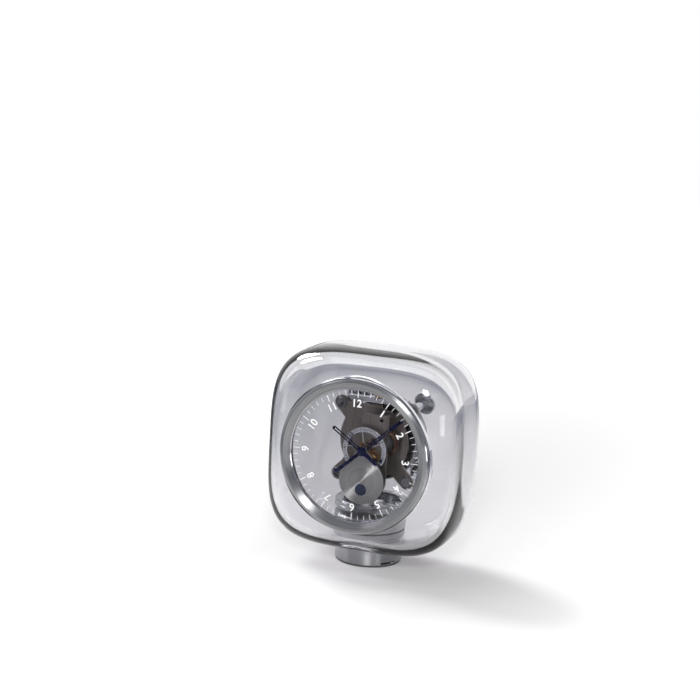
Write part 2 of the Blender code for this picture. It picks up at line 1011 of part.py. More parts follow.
cross_at = minute_tip - cross_from_tip
flat(
    "minute_hand",
    hand_outline(minute_tip, minute_tail, minute_half_width, minute_boss, cross_at),
    [
        circle(hand_bore_radius, 12),
        slot(
            minute_boss + slot_from_boss,
            cross_at - cross_slot_gap,
            minute_half_width - minute_rail,
        ),
    ],
    minute_hand_front,
    minute_hand_back,
    blued_steel,
    dial_at,
    minute_turn,
)
flat(
    "hour_hand",
    hand_outline(hour_tip, hour_tail, hour_half_width, hour_boss),
    [
        circle(hour_bore_radius, 16),
        slot(hour_boss + slot_from_boss, hour_tip - slot_to_tip, hour_half_width - hour_rail),
    ],
    hour_hand_front,
    hour_hand_back,
    blued_steel,
    dial_at,
    hour_turn,
)
arbor_radius = 1.6 * mm
arbor_proud = 0.9 * mm
nut_radius = 2.7 * mm
nut_height = 2.4 * mm
arbor_front = minute_hand_front - arbor_proud
turned_y(
    "hand_nut",
    [
        (0, arbor_front - nut_height),
        (nut_radius - ring_edge, arbor_front - nut_height),
        (nut_radius, arbor_front - nut_height + ring_edge),
        (nut_radius, minute_hand_front - seat_gap),
        (arbor_radius + seat_gap, minute_hand_front - seat_gap),
        (arbor_radius + seat_gap, arbor_front - seat_gap),
        (0, arbor_front - seat_gap),
    ],
    blued_steel,
    dial_at,
    12,
)

# Month wheel, moon plate and moon disc

month_radius = 28 * mm
month_rim = 5.4 * mm
month_spokes = 5
month_spoke_half = 0.55 * mm
month_spoke_turn = math.radians(-9.5)
month_gap_steps = 6
month_hub = 5.6 * mm
pipe_outer = 3.1 * mm
month_bore = pipe_outer + run_gap
moon_plate_radius = 28.6 * mm
moon_window_radius = 7.2 * mm
moon_window_drop = 10.8 * mm
moon_plate_bore = pipe_outer + 2 * run_gap
moon_apex_wall = 0.9 * mm
moon_apex_radius = moon_plate_bore + moon_apex_wall
moon_disc_radius = 20 * mm
moon_arbor_radius = 1.2 * mm
moon_stud_radius = 1.5 * mm
moon_stud_spread = 23.5 * mm


def spoke_gaps(inner, outer, count, half_width, arc_points=2):
    """The holes between the spokes of a wheel."""
    holes = []
    for index in range(count):
        start = 2 * math.pi * index / count
        end = 2 * math.pi * (index + 1) / count
        outer_bite = math.asin(half_width / outer)
        inner_bite = math.asin(half_width / inner)
        holes.append(
            arc(outer, start + outer_bite, end - outer_bite, arc_points)
            + arc(inner, end - inner_bite, start + inner_bite, 1)
        )
    return holes


flat(
    "month_wheel",
    circle(month_radius, 36),
    [circle(month_bore, 16)]
    + spoke_gaps(
        month_hub, month_radius - month_rim, month_spokes, month_spoke_half, month_gap_steps
    ),
    month_wheel_front,
    month_wheel_back,
    month_white,
    dial_at,
    month_spoke_turn,
)

# The plate is a disc whose tangents run up to a blunt apex round the dial axis
moon_taper = math.acos((moon_plate_radius - moon_apex_radius) / moon_drop)
moon_outline = arc(
    moon_plate_radius, moon_taper, 2 * math.pi - moon_taper, 24, (0, -moon_drop)
) + arc(moon_apex_radius, -moon_taper, moon_taper, 5)
flat(
    "moon_plate",
    moon_outline,
    [
        circle(moon_plate_bore, 16),
        circle(moon_window_radius, 18, (0, -moon_drop - moon_window_drop)),
    ],
    moon_plate_front,
    moon_plate_back,
    silver_dial,
    dial_at,
)
moon_at = (0, moon_z)
turned_y(
    "moon_disc",
    [
        (0, moon_disc_front),
        (moon_disc_radius, moon_disc_front),
        (moon_disc_radius, moon_disc_back),
        (moon_arbor_radius, moon_disc_back),
        (moon_arbor_radius, bridge_back),
        (0, bridge_back),
    ],
    moon_blue,
    moon_at,
    24,
)

# Motion work in front of the bridge

pipe_inner = arbor_radius + run_gap
hour_wheel_radius = driver_radius(motion_centres, hour_turns)
minute_pinion_radius = driven_radius(motion_centres, hour_turns)
minute_wheel_radius = driver_radius(motion_centres, cannon_turns)
cannon_radius = driven_radius(motion_centres, cannon_turns)
motion_stud_radius = 0.9 * mm
pipe_front = hour_hand_front - seat_gap
turned_y(
    "hour_wheel",
    [
        (pipe_inner, pipe_front),
        (pipe_outer, pipe_front),
        (pipe_outer, hour_wheel_front),
        (hour_wheel_radius, hour_wheel_front),
        (hour_wheel_radius, hour_wheel_back),
        (pipe_inner, hour_wheel_back),
    ],
    gilt_brass,
    dial_at,
    24,
)
pinion_front = hour_wheel_front - seat_gap
turned_y(
    "minute_wheel",
    [
        (0, pinion_front),
        (minute_pinion_radius, pinion_front),
        (minute_pinion_radius, minute_wheel_front),
        (minute_wheel_radius, minute_wheel_front),
        (minute_wheel_radius, minute_wheel_back),
        (motion_stud_radius, minute_wheel_back),
        (motion_stud_radius, bridge_back),
        (0, bridge_back),
    ],
    gilt_brass,
    motion_at,
    16,
)

# Going train between the bridge and the main plate

great_wheel_radius = driver_radius(barrel_centres, barrel_turns)
centre_pinion_radius = driven_radius(barrel_centres, barrel_turns)
centre_wheel_radius = driver_radius(third_centres, train_turns)
third_pinion_radius = driven_radius(third_centres, train_turns)
third_wheel_radius = driver_radius(escape_centres, train_turns)
escape_pinion_radius = driven_radius(escape_centres, train_turns)
barrel_rim = 1.4 * mm
barrel_radius = great_wheel_radius - barrel_rim
barrel_wall = 1 * mm
great_wheel_thickness = 1.6 * mm
barrel_from_bridge = 1.6 * mm
barrel_arbor_radius = 2 * mm
great_to_centre_wheel = 3 * mm
train_wheel_thickness = 1 * mm
centre_wheel_back_off = 5.8 * mm
third_wheel_back_off = 3.2 * mm
escape_wheel_radius = 8 * mm
train_arbor_radius = 0.9 * mm
escape_wheel_behind = 1.1 * mm
escape_wheel_thickness = 0.8 * mm
cock_behind = 0.8 * mm
cock_thickness = 0.8 * mm

centre_wheel_front = plate_front - centre_wheel_back_off
centre_wheel_back = centre_wheel_front + train_wheel_thickness
great_wheel_back = centre_wheel_front - great_to_centre_wheel
great_wheel_front = great_wheel_back - great_wheel_thickness
barrel_front = bridge_back + barrel_from_bridge
third_wheel_front = plate_front - third_wheel_back_off
third_wheel_back = third_wheel_front + train_wheel_thickness
escape_wheel_front = plate_back + escape_wheel_behind
escape_wheel_back = escape_wheel_front + escape_wheel_thickness
cock_front = escape_wheel_back + cock_behind
cock_back = cock_front + cock_thickness

turned_y(
    "centre_arbor",
    [
        (0, arbor_front),
        (arbor_radius, arbor_front),
        (arbor_radius, minute_wheel_front),
        (cannon_radius, minute_wheel_front),
        (cannon_radius, minute_wheel_back),
        (arbor_radius, minute_wheel_back),
        (arbor_radius, great_wheel_front - seat_gap),
        (centre_pinion_radius, great_wheel_front - seat_gap),
        (centre_pinion_radius, great_wheel_back + seat_gap),
        (arbor_radius, great_wheel_back + seat_gap),
        (arbor_radius, centre_wheel_front),
        (centre_wheel_radius, centre_wheel_front),
        (centre_wheel_radius, centre_wheel_back),
        (arbor_radius, centre_wheel_back),
        (arbor_radius, plate_back),
        (0, plate_back),
    ],
    gilt_brass,
    dial_at,
    16,
)
turned_y(
    "third_wheel",
    [
        (0, bridge_front),
        (train_arbor_radius, bridge_front),
        (train_arbor_radius, centre_wheel_front - seat_gap),
        (third_pinion_radius, centre_wheel_front - seat_gap),
        (third_pinion_radius, centre_wheel_back + seat_gap),
        (train_arbor_radius, centre_wheel_back + seat_gap),
        (train_arbor_radius, third_wheel_front),
        (third_wheel_radius, third_wheel_front),
        (third_wheel_radius, third_wheel_back),
        (train_arbor_radius, third_wheel_back),
        (train_arbor_radius, plate_back),
        (0, plate_back),
    ],
    gilt_brass,
    third_at,
    16,
)
turned_y(
    "escape_wheel",
    [
        (0, third_wheel_front - seat_gap),
        (escape_pinion_radius, third_wheel_front - seat_gap),
        (escape_pinion_radius, third_wheel_back + seat_gap),
        (train_arbor_radius, third_wheel_back + seat_gap),
        (train_arbor_radius, escape_wheel_front),
        (escape_wheel_radius, escape_wheel_front),
        (escape_wheel_radius, escape_wheel_back),
        (train_arbor_radius, escape_wheel_back),
        (train_arbor_radius, cock_back),
        (0, cock_back),
    ],
    gilt_brass,
    escape_at,
    16,
)

# Barrel: a cup with the great wheel on its rim and the mainspring inside
spring_inner = 5 * mm
spring_to_wall = 0.6 * mm
spring_outer = barrel_radius - barrel_wall - spring_to_wall
spring_below_rim = 0.8 * mm
hub_bore = barrel_arbor_radius + run_gap
cup_floor = great_wheel_back - barrel_wall
turned_y(
    "barrel",
    [
        (barrel_radius - barrel_wall, barrel_front),
        (barrel_radius, barrel_front),
        (barrel_radius, great_wheel_front),
        (great_wheel_radius, great_wheel_front),
        (great_wheel_radius, great_wheel_back),
        (hub_bore, great_wheel_back),
        (hub_bore, cup_floor),
        (barrel_radius - barrel_wall, cup_floor),
    ],
    gilt_brass,
    barrel_at,
    24,
)
turned_y(
    "mainspring",
    tube_outline(
        spring_inner,
        spring_outer,
        barrel_front + spring_below_rim,
        cup_floor - seat_gap,
    ),
    spring_steel,
    barrel_at,
    18,
)
ratchet_radius = 9 * mm
ratchet_thickness = 1.2 * mm
ratchet_behind = 0.6 * mm
pulley_radius = 8 * mm
pulley_thickness = 2.6 * mm
pulley_groove = 1 * mm
ratchet_front = plate_back + ratchet_behind
ratchet_back = ratchet_front + ratchet_thickness
pulley_front = ratchet_back + seat_gap
pulley_back = pulley_front + pulley_thickness
turned_y(
    "barrel_arbor",
    [
        (0, bridge_front),
        (barrel_arbor_radius, bridge_front),
        (barrel_arbor_radius, ratchet_front),
        (ratchet_radius, ratchet_front),
        (ratchet_radius, ratchet_back),
        (barrel_arbor_radius, ratchet_back),
        (barrel_arbor_radius, pulley_back),
        (0, pulley_back),
    ],
    polished_steel,
    barrel_at,
    16,
)
pulley_bore = barrel_arbor_radius + run_gap
pulley_middle = (pulley_front + pulley_back) / 2
turned_y(
    "winding_pulley",
    [
        (pulley_bore, pulley_front),
        (pulley_radius, pulley_front),
        (pulley_radius - pulley_groove, pulley_middle),
        (pulley_radius, pulley_back),
        (pulley_bore, pulley_back),
    ],
    gilt_brass,
    barrel_at,
    16,
)

# Click that holds the ratchet, on a stud behind the plate
click_length = 9 * mm
click_half_width = 1.5 * mm
click_bearing = math.radians(-47)
click_lean = math.radians(20)
click_reach = ratchet_radius + click_half_width + run_gap
click_tip = (
    barrel_at[0] + click_reach * math.sin(click_bearing),
    barrel_at[1] + click_reach * math.cos(click_bearing),
)
click_pivot = (
    click_tip[0] - click_length * math.cos(click_bearing + click_lean),
    click_tip[1] + click_length * math.sin(click_bearing + click_lean),
)
click_stud_radius = 0.8 * mm
click_hole = click_stud_radius + run_gap
click_local_tip = (click_tip[0] - click_pivot[0], click_tip[1] - click_pivot[1])
flat(
    "click",
    stadium((0, 0), click_local_tip, click_half_width, 6),
    [circle(click_hole, 10)],
    ratchet_front,
    ratchet_back,
    polished_steel,
    click_pivot,
)

# Main plate: a disc with four round ears, and a tab under the suspension bridge on its left

plate_disc_radius = 44 * mm
ear_radius = 9 * mm
fillet_power = 11
ear_reach = math.hypot(post_offset, post_offset)
tab_to_bridge = 0.8 * mm
tab_rise = suspension_z - plate_z - tab_to_bridge
tab_right = 8 * mm


def plate_edge(angle):
    """Radius of the outline: the larger of the disc and the nearest ear's arm, rounded where they meet."""
    off = (angle % (math.pi / 2)) - math.pi / 4
    across = abs(ear_reach * math.sin(off))
    along = ear_reach * math.cos(off)
    if across < ear_radius:
        arm_reach = along + math.sqrt(ear_radius**2 - across**2)
    else:
        arm_reach = ear_radius / abs(math.sin(off))
    arm_reach = min(arm_reach, ear_reach + ear_radius)
    total = plate_disc_radius**fillet_power + arm_reach**fillet_power
    reach = total ** (1 / fillet_power)
    if math.cos(angle) > math.sqrt(0.5):
        to_top = tab_rise / math.cos(angle)
        if to_top * math.sin(angle) < tab_right:
            reach = max(reach, to_top)
    return reach


def plate_outline():
    """Close points round each ear, wider apart along the disc."""
    half = (1.2, 3.6, 6, 8, 9.6, 12, 15, 20, 29, 40)
    points = []
    for quarter in range(4):
        middle = quarter * math.pi / 2 + math.pi / 4
        for degrees in [-step for step in reversed(half)] + list(half):
            angle = middle + math.radians(degrees)
            reach = plate_edge(angle)
            points.append((reach * math.sin(angle), reach * math.cos(angle)))
    tab_foot = math.sqrt(plate_disc_radius**2 - tab_right**2)
    points[1:1] = [(tab_right, tab_rise), (tab_right, tab_foot)]
    return points


def from_plate(x, z):
    return (x, z - plate_z)


screw_shank = 3 * mm
post_places = [
    (side * post_offset, plate_z + level * post_offset)
    for side in (-1, 1)
    for level in (-1, 1)
]
bridge_pillar_radius = 2.4 * mm
bridge_pillar_spread = 13 * mm
bridge_pillar_drop = 32 * mm
bridge_pillar_rise = 23 * mm
bridge_pillar_offset = 8 * mm
bridge_pillar_right = 17 * mm
bridge_pillar_high = 37 * mm
bridge_pillar_places = [
    (-bridge_pillar_spread, dial_z - bridge_pillar_drop),
    (bridge_pillar_spread, dial_z - bridge_pillar_drop),
    (-bridge_pillar_offset, dial_z + bridge_pillar_rise),
    (bridge_pillar_right, dial_z + bridge_pillar_high),
]
drum_leg_radius = 3 * mm
drum_leg_spread = 36 * mm
drum_leg_rise = 12 * mm
drum_leg_low = 28 * mm
drum_leg_places = [
    (-drum_leg_spread, plate_z + drum_leg_rise),
    (drum_leg_spread, plate_z + drum_leg_rise),
    (-drum_leg_low, plate_z - drum_leg_low),
    (drum_leg_low, plate_z - drum_leg_low),
]
main_plate = flat(
    "main_plate",
    plate_outline(),
    [
        circle(arbor_radius + pivot_gap, 12, from_plate(*dial_at)),
        circle(train_arbor_radius + pivot_gap, 10, from_plate(*third_at)),
        circle(train_arbor_radius + pivot_gap, 10, from_plate(*escape_at)),
        circle(barrel_arbor_radius + pivot_gap, 12, from_plate(*barrel_at)),
    ]
    + [circle(screw_shank + run_gap, 12, from_plate(*at)) for at in post_places],
    plate_front,
    plate_back,
    plate_nickel,
    (0, plate_z),
)
main_plate = welded(main_plate)
studs(
    main_plate,
    "bridge_pillars",
    bridge_pillar_radius,
    bridge_back + seat_gap,
    plate_back - stud_bite,
    bridge_pillar_places,
)
studs(
    main_plate,
    "click_stud",
    click_stud_radius,
    plate_front + stud_bite,
    ratchet_back + seat_gap,
    [click_pivot],
    10,
)

# Front bridge: behind the month wheel and the moon plate, with two round windows and a tall right side
bridge_wall = 3.75 * mm
bridge_radius = barrel_centres + barrel_arbor_radius + pivot_gap + bridge_wall
window_wall = 2.2 * mm
bridge_windows = [(math.radians(294), 9.5 * mm), (math.radians(35), 6 * mm)]
window_holes = []
for turn, radius in bridge_windows:
    reach = arbor_radius + pivot_gap + window_wall + radius
    window_holes.append(circle(radius, 20, (reach * math.sin(turn), reach * math.cos(turn))))
bridge_top = 43.3 * mm
bridge_top_left = 8 * mm
bridge_corner = 3 * mm
bridge_outline = (
    arc(bridge_radius, -math.pi / 2, -math.asin(bridge_top_left / bridge_radius), 6)
    + arc(
        bridge_corner,
        -math.pi / 2,
        0,
        3,
        (bridge_corner - bridge_top_left, bridge_top - bridge_corner),
    )
    + arc(
        bridge_corner,
        0,
        math.pi / 2,
        3,
        (bridge_radius - bridge_corner, bridge_top - bridge_corner),
    )
    + arc(bridge_radius, math.pi / 2, 3 * math.pi / 2, 9, (0, -moon_drop))
)
front_bridge = flat(
    "front_bridge",
    bridge_outline,
    [
        circle(arbor_radius + pivot_gap, 12),
        circle(motion_stud_radius + pivot_gap, 10, (motion_at[0], motion_at[1] - dial_z)),
        circle(train_arbor_radius + pivot_gap, 10, (third_at[0], third_at[1] - dial_z)),
        circle(barrel_arbor_radius + pivot_gap, 12, (barrel_at[0], barrel_at[1] - dial_z)),
        circle(moon_arbor_radius + pivot_gap, 10, (0, -moon_drop)),
    ]
    + window_holes,
    bridge_front,
    bridge_back,
    plate_nickel,
    dial_at,
)
front_bridge = welded(front_bridge)
studs(
    front_bridge,
    "moon_studs",
    moon_stud_radius,
    moon_plate_back + seat_gap,
    bridge_back - stud_bite,
    [(-moon_stud_spread, moon_z), (moon_stud_spread, moon_z)],
    10,
)

# Pallet lever and the cock that carries it and the escape wheel behind the plate
pallet_arbor_radius = 0.7 * mm
pallet_top = 1.4 * mm
pallet_half_width = 0.7 * mm
pallet_clear = 1.6 * mm
pallet_spread = math.radians(50)
pallet_bottom = 2.4 * mm
fork_gap_half = pin_radius + run_gap
fork_prong = 0.8 * mm
fork_depth = 3 * mm
pallet_circle = escape_wheel_radius + pallet_clear + pallet_half_width
pallet_x = pallet_circle * math.sin(pallet_spread)
pallet_z = pallet_drop - pallet_circle * math.cos(pallet_spread)

# Two arms reach round the escape wheel above, and a fork reaches down to the impulse pin
lever_side = [
    (0, pallet_top),
    (pallet_x - pallet_half_width, pallet_z + pallet_half_width),
    (pallet_x + pallet_half_width, pallet_z),
    (fork_gap_half + fork_prong, -pallet_bottom),
    (fork_gap_half + fork_prong, -fork_reach),
    (fork_gap_half, -fork_reach),
    (fork_gap_half, -fork_reach + fork_depth),
]
lever_outline = lever_side + [(-x, z) for x, z in reversed(lever_side[1:])]
pallet_lever = flat(
    "pallet_lever",
    lever_outline,
    [],
    escape_wheel_front,
    escape_wheel_back,
    polished_steel,
    pallet_at,
)
pallet_lever = welded(pallet_lever)
studs(
    pallet_lever,
    "pallet_arbor",
    pallet_arbor_radius,
    plate_back + seat_gap,
    cock_back,
    [pallet_at],
    10,
)
cock_half_width = 2.6 * mm
cock_foot_reach = 13 * mm
cock_foot = (cock_foot_reach, (pallet_at[1] + escape_at[1]) / 2)
cock_post_radius = 2 * mm
cock_outline = [
    (-cock_half_width, pallet_at[1] - cock_half_width - dial_z),
    (-cock_half_width, escape_at[1] + cock_half_width - dial_z),
    (cock_half_width, escape_at[1] + cock_half_width - dial_z),
    (cock_half_width, cock_foot[1] + cock_half_width - dial_z),
    (cock_foot[0] + cock_half_width, cock_foot[1] + cock_half_width - dial_z),
    (cock_foot[0] + cock_half_width, cock_foot[1] - cock_half_width - dial_z),
    (cock_half_width, cock_foot[1] - cock_half_width - dial_z),
    (cock_half_width, pallet_at[1] - cock_half_width - dial_z),
]
escapement_cock = flat(
    "escapement_cock",
    cock_outline,
    [
        circle(train_arbor_radius + pivot_gap, 10, (escape_at[0], escape_at[1] - dial_z)),
        circle(pallet_arbor_radius + pivot_gap, 10, (pallet_at[0], pallet_at[1] - dial_z)),
    ],
    cock_front,
    cock_back,
    plate_nickel,
    dial_at,
)
escapement_cock = welded(escapement_cock)
studs(
    escapement_cock,
    "cock_post",
    cock_post_radius,
    plate_back + seat_gap,
    cock_back - fit_gap,
    [cock_foot],
    10,
)

# Posts from the plate to the back of the case, with their cups, screws and rear bolts

screw_head_radius = 6.9 * mm
screw_head_height = 2.6 * mm
screw_dome = 0.8 * mm
cup_ring_radius = 14.5 * mm
cup_ring_height = 6 * mm
cup_clear = 0.9 * mm
bolt_shank = 3.6 * mm
bolt_hole = 4 * mm
bolt_head_radius = 8.2 * mm
bolt_head_height = 2.7 * mm
bolt_sink = 3.4 * mm
bolt_head_gap = 0.4 * mm

rim_x = post_offset + cup_ring_radius / math.sqrt(2)


def cup_back_at(place):
    """Each post ends just short of the curved wall, where its own cup is furthest out."""
    level = 1 if place[1] > plate_z else -1
    return inner_back(rim_x, plate_z + level * rim_x) - cup_clear


bolt_seat = min(outer_back(*at) for at in post_places) - bolt_sink

corner_names = ("lower_left", "upper_left", "lower_right", "upper_right")
for corner, at in zip(corner_names, post_places):
    cup_back = cup_back_at(at)
    cup_front = cup_back - cup_ring_height
    turned_y(
        "plate_screw_" + corner,
        [
            (0, plate_front - screw_head_height),
            (screw_head_radius - screw_dome, plate_front - screw_head_height),
            (screw_head_radius, plate_front - screw_head_height + screw_dome),
            (screw_head_radius, plate_front - seat_gap),
            (screw_shank, plate_front - seat_gap),
            (screw_shank, plate_back),
            (0, plate_back),
        ],
        polished_steel,
        at,
        12,
    )
    turned_y(
        "post_" + corner,
        [
            (0, plate_back + seat_gap),
            (post_radius, plate_back + seat_gap),
            (post_radius, cup_front),
            (cup_ring_radius - screw_dome, cup_front),
            (cup_ring_radius, cup_front + screw_dome),
            (cup_ring_radius, cup_back),
            (0, cup_back),
        ],
        polished_steel,
        at,
        14,
    )
    turned_y(
        "rear_bolt_" + corner,
        [
            (0, cup_back + seat_gap),
            (bolt_shank, cup_back + seat_gap),
            (bolt_shank, bolt_seat + seat_gap),
            (bolt_head_radius, bolt_seat + seat_gap),
            (bolt_head_radius, bolt_seat + seat_gap + bolt_head_height),
            (0, bolt_seat + seat_gap + bolt_head_height),
        ],
        polished_steel,
        at,
        12,
    )

# Rear drum with the bellows that wind the clock

drum_radius = 50 * mm
drum_wall = 1.5 * mm
drum_front_wall = 2 * mm
drum_cover_thickness = 2 * mm
drum_spigot = 2.4 * mm
chain_hole_radius = 6 * mm
capsule_to_wall = 4 * mm
capsule_radius = drum_radius - drum_wall - capsule_to_wall
capsule_fold = 6 * mm
capsule_folds = 4
cap_inset = 4.5 * mm
cap_radius = capsule_radius - cap_inset
cap_thickness = 2.4 * mm
cap_room = 4.6 * mm

drum_at = (0, plate_z)
drum_rim = drum_back - drum_cover_thickness - seat_gap
drum_floor = drum_front + drum_front_wall
housing = turned_y(
    "bellows_housing",
    [
        (0, drum_front),
        (drum_radius, drum_front),
        (drum_radius, drum_rim),
        (drum_radius - drum_wall, drum_rim),
        (drum_radius - drum_wall, drum_floor),
        (0, drum_floor),
    ],
    satin_steel,
    drum_at,
    32,
)
cover_front = drum_rim - drum_spigot
turned_y(
    "bellows_cover",
    [
        (0, cover_front),
        (drum_radius - drum_wall - seat_gap, cover_front),
        (drum_radius - drum_wall - seat_gap, drum_rim + seat_gap),
        (drum_radius, drum_rim + seat_gap),
        (drum_radius, drum_back),
        (0, drum_back),
    ],
    satin_steel,
    drum_at,
    32,
)
cap_front = drum_floor + cap_room
cap_back = cap_front + cap_thickness
capsule_front = cap_back + seat_gap
capsule_back = cover_front - seat_gap
fold_pitch = (capsule_back - capsule_front) / (2 * capsule_folds)
capsule_profile = [(0, capsule_front)]
for index in range(2 * capsule_folds + 1):
    fold_radius = capsule_radius - capsule_fold * ((index + 1) % 2)
    capsule_profile.append((fold_radius, capsule_front + fold_pitch * index))
capsule_profile.append((0, capsule_back))
turned_y("bellows_capsule", capsule_profile, gilt_brass, drum_at, 20)
turned_y(
    "bellows_cap",
    tube_outline(0, cap_radius, cap_front, cap_back),
    gilt_brass,
    drum_at,
    20,
)

# The chain runs from the cap, through the front of the drum, to the groove of the winding pulley
chain_radius = 0.6 * mm
chain_x = barrel_at[0] + pulley_radius + chain_radius + seat_gap
chain_rise = 18 * mm
chain_low = Vector((chain_x, pulley_middle, barrel_at[1]))
chain_high = Vector((chain_x, cap_front - seat_gap - chain_radius, barrel_at[1] + chain_rise))
chain_curve = bpy.data.curves.new("winding_chain", "CURVE")
chain_curve.dimensions = "3D"
chain_curve.bevel_depth = chain_radius
chain_curve.bevel_resolution = 1
chain_curve.use_fill_caps = True
chain_spline = chain_curve.splines.new("POLY")
chain_spline.points.add(1)
for point, end in zip(chain_spline.points, (chain_low, chain_high)):
    point.co = (*end, 1)
place("winding_chain", chain_curve, spring_steel)

hole_share = (drum_front - chain_low.y) / (chain_high.y - chain_low.y)
hole_middle = chain_low.lerp(chain_high, hole_share)
drill = bmesh.new()
add_cylinder(
    drill,
    chain_hole_radius,
    (hole_middle.x, drum_front - overrun, hole_middle.z),
    (hole_middle.x, drum_floor + overrun, hole_middle.z),
    (0, 1, 0),
    12,
)
cut(housing, cutter_object("chain_hole", drill))

studs(
    housing,
    "drum_legs",
    drum_leg_radius,
    plate_back + seat_gap,
    drum_front + drum_front_wall - fit_gap,
    drum_leg_places,
)

# Crystal case

outer_segments = 12
inner_segments = 8
body = superellipsoid(outer_half, outer_segments, edge_power)
bmesh.ops.recalc_face_normals(body, faces=body.faces)
body_mesh = bpy.data.meshes.new("crystal_body")
body.to_mesh(body_mesh)
body.free()
crystal_body = place("crystal_body", body_mesh, crystal, (0, 0, case_middle))
smooth(crystal_body)

hollow = cutter_object(
    "case_hollow",
    superellipsoid(inner_half, inner_segments, inner_edge_power),
    (0, 0, inner_middle),
)
drill = bmesh.new()
front_cut_back = overrun - min(
    inner_back(opening_radius, dial_z), inner_back(0, dial_z + opening_radius)
)
add_cylinder(
    drill,
    opening_radius,
    (0, case_front - overrun, dial_z),
    (0, front_cut_back, dial_z),
    (0, 1, 0),
    48,
)
front_opening = cutter_object("front_opening", drill)
drill = bmesh.new()
add_cylinder(
    drill,
    neck_radius + run_gap,
    (*foot_at, 0),
    (*foot_at, inner_floor + case_floor),
    (0, 0, 1),
    36,
)
neck_opening = cutter_object("neck_opening", drill)
drill = bmesh.new()
add_cylinder(
    drill, foot_radius + foot_seat_margin, (*foot_at, 0), (*foot_at, foot_seat), (0, 0, 1), 36
)
foot_recess = cutter_object("foot_recess", drill)
drill = bmesh.new()
add_cylinder(
    drill,
    collar_radius + foot_seat_margin,
    (*foot_at, inner_floor + fit_gap),
    (*foot_at, inner_floor + case_floor + collar_height),
    (0, 0, 1),
    36,
)
collar_recess = cutter_object("collar_recess", drill)
drill = bmesh.new()
for x, z in post_places:
    add_cylinder(
        drill,
        bolt_hole,
        (x, cup_back_at((x, z)) - cup_ring_height, z),
        (x, case_depth / 2 + overrun, z),
        (0, 1, 0),
        14,
    )
bolt_holes = cutter_object("bolt_holes", drill)
drill = bmesh.new()
for x, z in post_places:
    add_cylinder(
        drill,
        bolt_head_radius + bolt_head_gap,
        (x, bolt_seat, z),
        (x, case_depth / 2 + overrun, z),
        (0, 1, 0),
        16,
    )
bolt_recesses = cutter_object("bolt_recesses", drill)
for tool in (
    hollow,
    front_opening,
    neck_opening,
    foot_recess,
    collar_recess,
    bolt_holes,
    bolt_recesses,
):
    cut(crystal_body, tool)
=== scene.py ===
# Atmospheric clock in a hollow crystal case, on a pale floor

import math

import bmesh
import bpy
from mathutils import Matrix, Vector


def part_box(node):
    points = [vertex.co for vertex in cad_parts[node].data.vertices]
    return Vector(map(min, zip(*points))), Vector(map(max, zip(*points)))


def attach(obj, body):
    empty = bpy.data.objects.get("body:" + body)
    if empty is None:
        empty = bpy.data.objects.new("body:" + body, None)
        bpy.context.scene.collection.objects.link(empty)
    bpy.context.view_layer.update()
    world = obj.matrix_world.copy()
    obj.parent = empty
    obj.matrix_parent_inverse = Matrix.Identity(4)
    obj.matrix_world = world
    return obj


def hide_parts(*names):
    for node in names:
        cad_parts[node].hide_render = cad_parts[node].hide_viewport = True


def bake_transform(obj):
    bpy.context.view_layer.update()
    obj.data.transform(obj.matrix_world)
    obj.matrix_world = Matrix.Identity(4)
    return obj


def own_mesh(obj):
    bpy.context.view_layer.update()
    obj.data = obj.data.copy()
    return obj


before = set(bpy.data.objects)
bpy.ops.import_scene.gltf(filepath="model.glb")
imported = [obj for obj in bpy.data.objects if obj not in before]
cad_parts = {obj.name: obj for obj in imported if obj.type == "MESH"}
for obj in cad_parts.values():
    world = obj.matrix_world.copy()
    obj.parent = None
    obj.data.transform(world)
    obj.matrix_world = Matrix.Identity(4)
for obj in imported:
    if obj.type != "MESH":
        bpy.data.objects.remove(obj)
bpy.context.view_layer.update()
print("frame loaded,", len(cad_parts), "nodes")

mm = 0.001
fullTurn = 2 * math.pi
quarter = math.pi / 2
towardsBack = Vector((0, 1, 0))
upwards = Vector((0, 0, 1))
beyond = 1 * mm  # how far a cutter reaches past what it cuts
slip = 0.02 * mm  # keeps two surfaces from lying in one another
fineSteps = 192


# Places taken from the frame
def lowest(node):
    return Vector(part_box(node)[0])


def highest(node):
    return Vector(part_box(node)[1])


def middle(node):
    return (lowest(node) + highest(node)) / 2


def halfWidth(node):
    return (highest(node).x - lowest(node).x) / 2


def frontAndBack(node):
    return lowest(node).y, highest(node).y


def footAndTop(node):
    return lowest(node).z, highest(node).z


corners = ("lower_left", "upper_left", "lower_right", "upper_right")
centred = ("bezel", "main_plate", "moon_disc", "escape_wheel")
dialAt, plateAt, moonAt, escapeAt = (Vector((0, 0, middle(node).z)) for node in centred)
wireAt, footAt = (Vector((0, middle(node).y, 0)) for node in ("torsion_wire", "base_pad"))
aside = ("third_wheel", "barrel_arbor", "minute_wheel")
thirdAt, barrelAt, motionAt = (Vector((middle(node).x, 0, middle(node).z)) for node in aside)
postAt = {corner: middle("post_" + corner) for corner in corners}
plateBack = lowest("suspension_bridge").y - 0.3 * mm
plateFront = plateBack - 3.5 * mm
bridgeFront = lowest("third_wheel").y
bridgeBack = bridgeFront + 3 * mm


# Node and colour helpers
def linear(hexCode):
    shares = [int(hexCode[i : i + 2], 16) / 255 for i in (0, 2, 4)]
    return (*[s / 12.92 if s <= 0.04045 else ((s + 0.055) / 1.055) ** 2.4 for s in shares], 1.0)


def addNode(tree, kind, settings=None, links=None):
    node = tree.nodes.new(kind)
    for name, value in (settings or {}).items():
        if isinstance(name, int) or name in node.inputs:
            node.inputs[name].default_value = value
        else:
            setattr(node, name, value)
    for name, socket in (links or {}).items():
        tree.links.new(socket, node.inputs[name])
    return node


